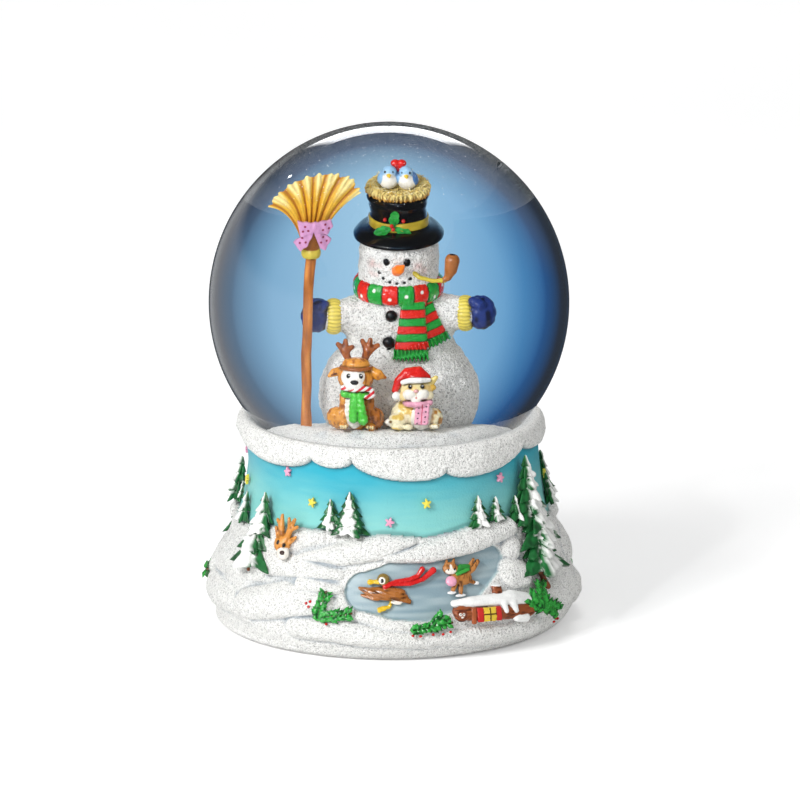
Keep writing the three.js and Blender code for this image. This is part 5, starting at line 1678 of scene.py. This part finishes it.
def sprigs():
    """Sprigs round the foot of the scene; two at the back are alike."""
    spread = [[(0, 0), (3, 2.4), (7, 3.4)], [(0, 0), (-3, 2.4), (-7, 2.8)]]
    cluster = [(-0.4, -0.6), (0.6, -0.4), (0.1, 0.6)]
    boughs = [
        bough((-17.5, 12.0), [[(0, 0), (0.4, 3.5), (1.4, 7.6)], [(0.2, 1), (4, 1.6), (8.4, 2.6)]], 2.0, 1,
              [(-2.6, 3.4), (-3.4, 4.2), (-2.4, 4.8), (2.5, -0.6)]),
        bough((5.2, 10.4), [[(0, 0), (4.5, 0.6), (10, 1.4)], [(5, 0.8), (6.6, 2.2), (7.6, 3.4)]], 1.8, 2,
              [(0.4, -1.5), (2.2, -1.7), (5.2, -1.4), (7.6, -1.5), (9.4, -1.0)]),
        bough((42.0, 10.4), [[(0, 0), (0.4, 3.6), (1.2, 7.4)], [(0, 1), (3, 0.2), (6, -1.8)],
                             [(0, 1), (-2.6, 2.4), (-3.8, 4.0)]], 2.6, 3,
              [(5.0, -3.6), (5.9, -3.9), (4.4, -4.4)]),
        bough((96, 9.0), spread, 2.2, 4, cluster),
        bough((-82, 9.0), spread, 2.2, 5, cluster),
        bough((136, 15.0), [[(0, 0), (0.4, 3.0), (2.0, 6.0)], [(0, 0), (-3, 1.2), (-6.4, 1.4)]], 2.0, 6,
              [(1.6, -0.8), (2.4, -0.2), (-1.0, -1.0)]),
    ]
    raised("evergreen_sprigs", joined(boughs), GLOSSY)


# ---------- snow on the ground and in the water ----------
def snow_mound():
    """The snow the figures stand on."""
    low, high = span("snow_mound")
    radius, top = high[0], high[2] - low[2]
    outline = [(0.01, top + 0.1), (9, top + 0.1), (17, top), (22, top - 0.5), (25.2, top - 1.9),
               (27.2, top - 4.5), (radius, top - 8), (radius - 0.4, 0.2), (12, 0.0), (0.01, 0.0)]

    def humps(angle, r, z):
        points = polar(angle, r, z).reshape(-1, 3)
        soft = 0.45 * noise(points, 5) + 0.18 * noise(points, 1.6) + 0.08 * noise(points, 0.6)
        return r, z + soft.reshape(z.shape) * smooth(z, 6, 11)

    ground = turned_mesh(rounded(outline, 26), 420, mound_paint, humps)
    stand_in("snow_ground", "snow_mound", foot("snow_mound"), ground, SUGAR, "painted_snow")


def mound_paint(p):
    return tone(SNOW, "#c9d0d6", 0.5 * smooth(noise(p, 4), 0.0, 0.9))


FLAKES = 2200
SETTLED = 1350
MOUND_EDGE = 28.6


def flakes():
    """Loose flakes of snow: most lie round the foot of the ball, a few still hang in the water."""
    rng = np.random.default_rng(7)
    low, high = span("settled_flakes")
    inside = BALL_RADIUS - WALL - 0.7
    corners = np.arange(5) * 2 * math.pi / 5
    points, faces = [], []
    for i in range(FLAKES):
        settled = i < SETTLED
        turn = rng.uniform(0, 2 * math.pi)
        if settled:
            z = low[2] + (high[2] - low[2]) * rng.uniform(0.05, 0.95) ** 1.5
            outer = math.sqrt(inside**2 - (BALL_Z - z) ** 2)
            radius = rng.uniform(MOUND_EDGE, max(outer, MOUND_EDGE + 0.1))
        else:
            z = BALL_Z + 46 * rng.uniform(0.45, 1) ** 0.5
            radius = rng.uniform(0.5, 0.97) * math.sqrt(inside**2 - (BALL_Z - z) ** 2)
        middle = np.array((radius * math.sin(turn), -radius * math.cos(turn), z))
        size = rng.uniform(0.14, 0.42) if settled else rng.uniform(0.05, 0.15)
        axes = spin(rng.uniform(0, 360, 3)) * size
        rim = [middle + axes @ (math.cos(t), math.sin(t), 0) * rng.uniform(0.7, 1.1) for t in corners]
        rise = axes[:, 2] * 0.14
        start = len(points)
        points += rim + [middle + rise, middle - rise]
        for k in range(5):
            faces.append((start + k, start + (k + 1) % 5, start + 5))
            faces.append((start + (k + 1) % 5, start + k, start + 6))
    obj = make("loose_flakes", np.array(points), np.array(faces), flat=True)
    dress(obj, FLAKE, "snow_flakes", "settled_flakes")


# ---------- parts shown as they are in the CAD, with their finishes ----------
def finish_nodes():
    """Finishes for the stopper, the plate and the musical movement, with their edges broken."""
    finishes = {
        "rubber": moulded("rubber", "#2b2a2c", 0.75),
        "black_plastic": moulded("black plastic", "#17171a", 0.5, 0.25, 0.02),
        "felt": moulded("felt", "#3c5a44", 0.95, 0.2, 0.09, 0.5),
        "steel": metal("steel", "#b9bcc2", 0.28),
        "brass": metal("brass", "#cfa14a", 0.3),
        "cast_zinc": metal("cast zinc", "#8f9296", 0.5, 0.6),
    }
    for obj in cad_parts.values():
        name = obj.data.materials[0].name.split(".")[0]
        if name not in finishes:
            continue
        obj.data.materials.clear()
        obj.data.materials.append(finishes[name])
        edges = obj.modifiers.new("broken edges", "BEVEL")
        edges.width = 0.08 * MM
        edges.segments = 2
        edges.limit_method = "ANGLE"
        edges.angle_limit = math.radians(35)


# ---------- materials shared by the painted pieces ----------
SUGAR = sugared("sugared resin")
GLOSSY = painted("glossy paint", 0.25, 0.35, 0.02, 0.12, 0.7)
SATIN = painted("satin paint", 0.42, 0.4, 0.03, 0.2, 0.25)
STRAW = painted("straw paint", 0.5, 0.3, 0.05, 0.35, 0.15)
LACQUER = painted("black lacquer", 0.12, 1.6, 0.05, 0.05, 1.0)
FLAKE = moulded("snow flake", "#f4f6f8", 0.3, 0.2, 0.01)


# ---------- setting: floor, lights, what the ball refracts, camera ----------
FLOOR_REACH = 4000
DOME_RADIUS = 20000
CARD_DISTANCE = 1500
CAMERA_DISTANCE = 3580
LENS = 580
SQUARE = ((-1, -1), (1, -1), (1, 1), (-1, 1))


def emission(name, build):
    m = Nodes(name)
    m.tree.nodes.remove(m.shader)
    glow = m.node("ShaderNodeEmission")
    build(m, glow)
    m.surface(glow.outputs[0])
    return m.material


def studio(shell):
    """A pale floor, soft lights, and the blue card that only the ball's water bends into view."""
    corners = [(x * FLOOR_REACH, y * FLOOR_REACH, 0) for x, y in SQUARE]
    floor = make("floor", corners, np.array([[0, 1, 2, 3]]), flat=True)
    floor.data.materials.append(floor_material())
    floor.visible_transmission = False
    floor.visible_glossy = False

    rows, columns = 40, 48
    angles = np.linspace(0.001, math.pi - 0.001, rows)
    points = lathe([(DOME_RADIUS * math.sin(t), DOME_RADIUS * math.cos(t)) for t in angles], columns)
    dome = make("blue_surround", points.reshape(-1, 3), grid_faces(rows, columns))
    dome.data.materials.append(emission("blue surround", blue_card))
    for flag in ("camera", "diffuse", "glossy", "shadow", "volume_scatter"):
        setattr(dome, "visible_" + flag, False)

    world = bpy.data.worlds.new("studio")
    world.use_nodes = True
    tree = world.node_tree
    background = tree.nodes["Background"]
    background.inputs["Color"].default_value = grey(1)
    tree.links.new(world_light(tree), background.inputs["Strength"])
    bpy.context.scene.world = world

    key = lamp("key", (-500, -580, 500), (0, 0, 80), 240, 4.7, glossy=True)
    spark = lamp("spark", (-330, -640, 430), (0, 0, 100), 36, 1.3, glossy=True)
    lamp("fill", (560, -360, 330), (0, 0, 70), 360, 0.3)
    lamp("front", (60, -760, 150), (0, 0, 80), 420, 0.6)
    lamp("top", (60, 160, 800), (0, 0, 80), 300, 1.1)
    keep_off(key, shell)
    keep_off(spark, shell)
    strip = card("rim_strip", (0, 0.93, 0.3665), (820, 395), 4.6)
    glint = card("glint", (-0.523, 0.68, 0.512), (34, 34), 30.0)


def world_light(tree):
    """White behind the scene, softer as a light, and mirrored only from the low left, as a window is."""
    def node(kind, **settings):
        made = tree.nodes.new(kind)
        for key, value in settings.items():
            setattr(made, key, value)
        return made

    def blend(value, start, end, low, high):
        made = node("ShaderNodeMapRange", interpolation_type="SMOOTHSTEP")
        tree.links.new(value, made.inputs["Value"])
        for key, wanted in (("From Min", start), ("From Max", end), ("To Min", low), ("To Max", high)):
            if isinstance(wanted, float):
                made.inputs[key].default_value = wanted
            else:
                tree.links.new(wanted, made.inputs[key])
        return made.outputs[0]

    seen = node("ShaderNodeLightPath").outputs
    sides = node("ShaderNodeSeparateXYZ")
    tree.links.new(node("ShaderNodeTexCoord").outputs["Generated"], sides.inputs[0])
    left = blend(sides.outputs["X"], -0.38, -0.15, 0.75, 0.05)
    mirrored = blend(sides.outputs["Z"], 0.08, 0.25, left, 0.05)
    soft = blend(seen["Is Camera Ray"], 0.0, 1.0, 0.43, 1.0)
    return blend(seen["Is Glossy Ray"], 0.0, 1.0, soft, mirrored)


def floor_material():
    """Matt white, kept evenly pale towards the horizon, and clear when looked at from underneath."""
    m = Nodes("pale floor")
    m.feed(m.shader, "Base Color", m.even(m.ramp(m.noise(260, 2), 0.3, 0.7, 0.93, 0.97)))
    m.feed(m.shader, "Roughness", 0.85)
    place = m.node("ShaderNodeTexCoord").outputs["Object"]
    far = m.node("ShaderNodeVectorMath", {0: place}, operation="LENGTH").outputs["Value"]
    seen = m.node("ShaderNodeLightPath").outputs["Is Camera Ray"]
    m.feed(m.shader, "Emission Color", grey(1))
    m.feed(m.shader, "Emission Strength", m.multiplied(m.ramp(far, 0.1, 1.6, 0.24, 0.68), seen))
    below = m.node("ShaderNodeNewGeometry").outputs["Backfacing"]
    clear = m.node("ShaderNodeBsdfTransparent").outputs[0]
    one_sided = m.node("ShaderNodeMixShader", {0: below, 1: m.shader.outputs[0], 2: clear})
    m.surface(one_sided.outputs[0])
    return m.material


def blue_card(m, glow):
    """Blue behind the ball. The water turns the view over: what is low or left here shows high or right."""
    place = m.node("ShaderNodeTexCoord").outputs["Camera"]
    aimed = m.node("ShaderNodeVectorMath", {0: place}, operation="NORMALIZE").outputs[0]
    split = m.node("ShaderNodeSeparateXYZ", {0: aimed})
    ahead = m.node("ShaderNodeMath", {0: split.outputs["Z"]}, operation="ABSOLUTE").outputs[0]
    left = m.mixed(m.ramp(split.outputs["X"], 0.0, 0.4), opaque("#a9d4ef"), opaque("#80afd2"))
    core = m.mixed(m.ramp(split.outputs["X"], 0.0, -0.4), left, opaque("#5a9bcd"))
    outer = m.mixed(m.ramp(split.outputs["X"], 0.2, -0.2), opaque("#446b8b"), opaque("#2c5f99"))
    outer = m.mixed(m.ramp(split.outputs["Y"], -0.08, -0.38), outer, opaque("#5b6d88"))
    sides = m.mixed(m.ramp(ahead, 0.95, 0.84), core, outer)
    dark = m.mixed(m.ramp(ahead, 0.86, 0.71), sides, opaque("#273244"))
    m.feed(glow, "Color", m.mixed(m.ramp(ahead, 0.71, 0.62), dark, opaque("#22282d")))
    m.feed(glow, "Strength", 1.0)


def lamp(name, at, aim, size, watts, glossy=False):
    light = bpy.data.lights.new(name, "AREA")
    light.size = size * MM
    light.energy = watts
    obj = bpy.data.objects.new(name, light)
    obj.visible_glossy = glossy
    obj.visible_transmission = False
    obj.location = Vector(at) * MM
    obj.rotation_euler = (Vector(aim) - Vector(at)).to_track_quat("-Z", "Y").to_euler()
    bpy.context.scene.collection.objects.link(obj)
    return obj


def keep_off(light, obj):
    """The light isn't mirrored in this object."""
    others = bpy.data.collections.new("not lit by " + light.name)
    light.light_linking.receiver_collection = others
    others.objects.link(obj)
    others.collection_objects[0].light_linking.link_state = "EXCLUDE"


def card(name, direction, size, strength):
    """A bright card seen only as a reflection in the glass."""
    away = Vector(direction).normalized()
    across = away.cross((0, 0, 1)).normalized()
    up = across.cross(away)
    middle = away * CARD_DISTANCE + Vector((0, 0, BALL_Z))
    corners = [middle + across * x * size[0] / 2 + up * y * size[1] / 2 for x, y in SQUARE]
    obj = make(name, corners, np.array([[0, 1, 2, 3]]), flat=True)

    def white(m, glow):
        place = m.node("ShaderNodeTexCoord").outputs["Generated"]
        ends = m.node("ShaderNodeSeparateXYZ", {0: place}).outputs["X"]
        near = m.node("ShaderNodeMath", {0: ends, 1: 0.5}, operation="SUBTRACT").outputs[0]
        inward = m.node("ShaderNodeMath", {0: near}, operation="ABSOLUTE").outputs[0]
        m.feed(glow, "Strength", m.ramp(inward, 0.5, 0.4, 0.0, strength))

    obj.data.materials.append(emission(name + " light", white))
    for flag in ("camera", "diffuse", "transmission", "shadow", "volume_scatter"):
        setattr(obj, "visible_" + flag, False)
    return obj


def camera():
    """The photograph's view: level with the ball's shoulder, a long lens."""
    lens = bpy.data.cameras.new("camera")
    lens.sensor_width = 36
    lens.lens = LENS
    lens.clip_end = 50
    obj = bpy.data.objects.new("camera", lens)
    aim = Vector((3.05, 0, 61.9))
    lift = math.radians(14.5)
    obj.location = (aim + CAMERA_DISTANCE * Vector((0, -math.cos(lift), math.sin(lift)))) * MM
    obj.rotation_euler = (aim * MM - obj.location).to_track_quat("-Z", "Y").to_euler()
    bpy.context.scene.collection.objects.link(obj)
    bpy.context.scene.camera = obj
    bpy.context.scene.view_settings.view_transform = "Standard"


painted_base()
glass = glass_globe()
snow_mound()
flakes()
snowman()
scarf()
mitten("left_mitten_sculpt", "left_mitten", -1, 23.4)
mitten("right_mitten_sculpt", "right_mitten", 1, 24.1)
top_hat()
hat_holly()
bird_nest()
bluebird("left_bird", "bluebird_left", -1)
bluebird("right_bird", "bluebird_right", 1)
heart()
tobacco_pipe()
broom()
broom_bow()
dog()
cat()
trees()
stars()
deer()
duck()
kitten()
cabin()
sprigs()
finish_nodes()
studio(glass)
camera()
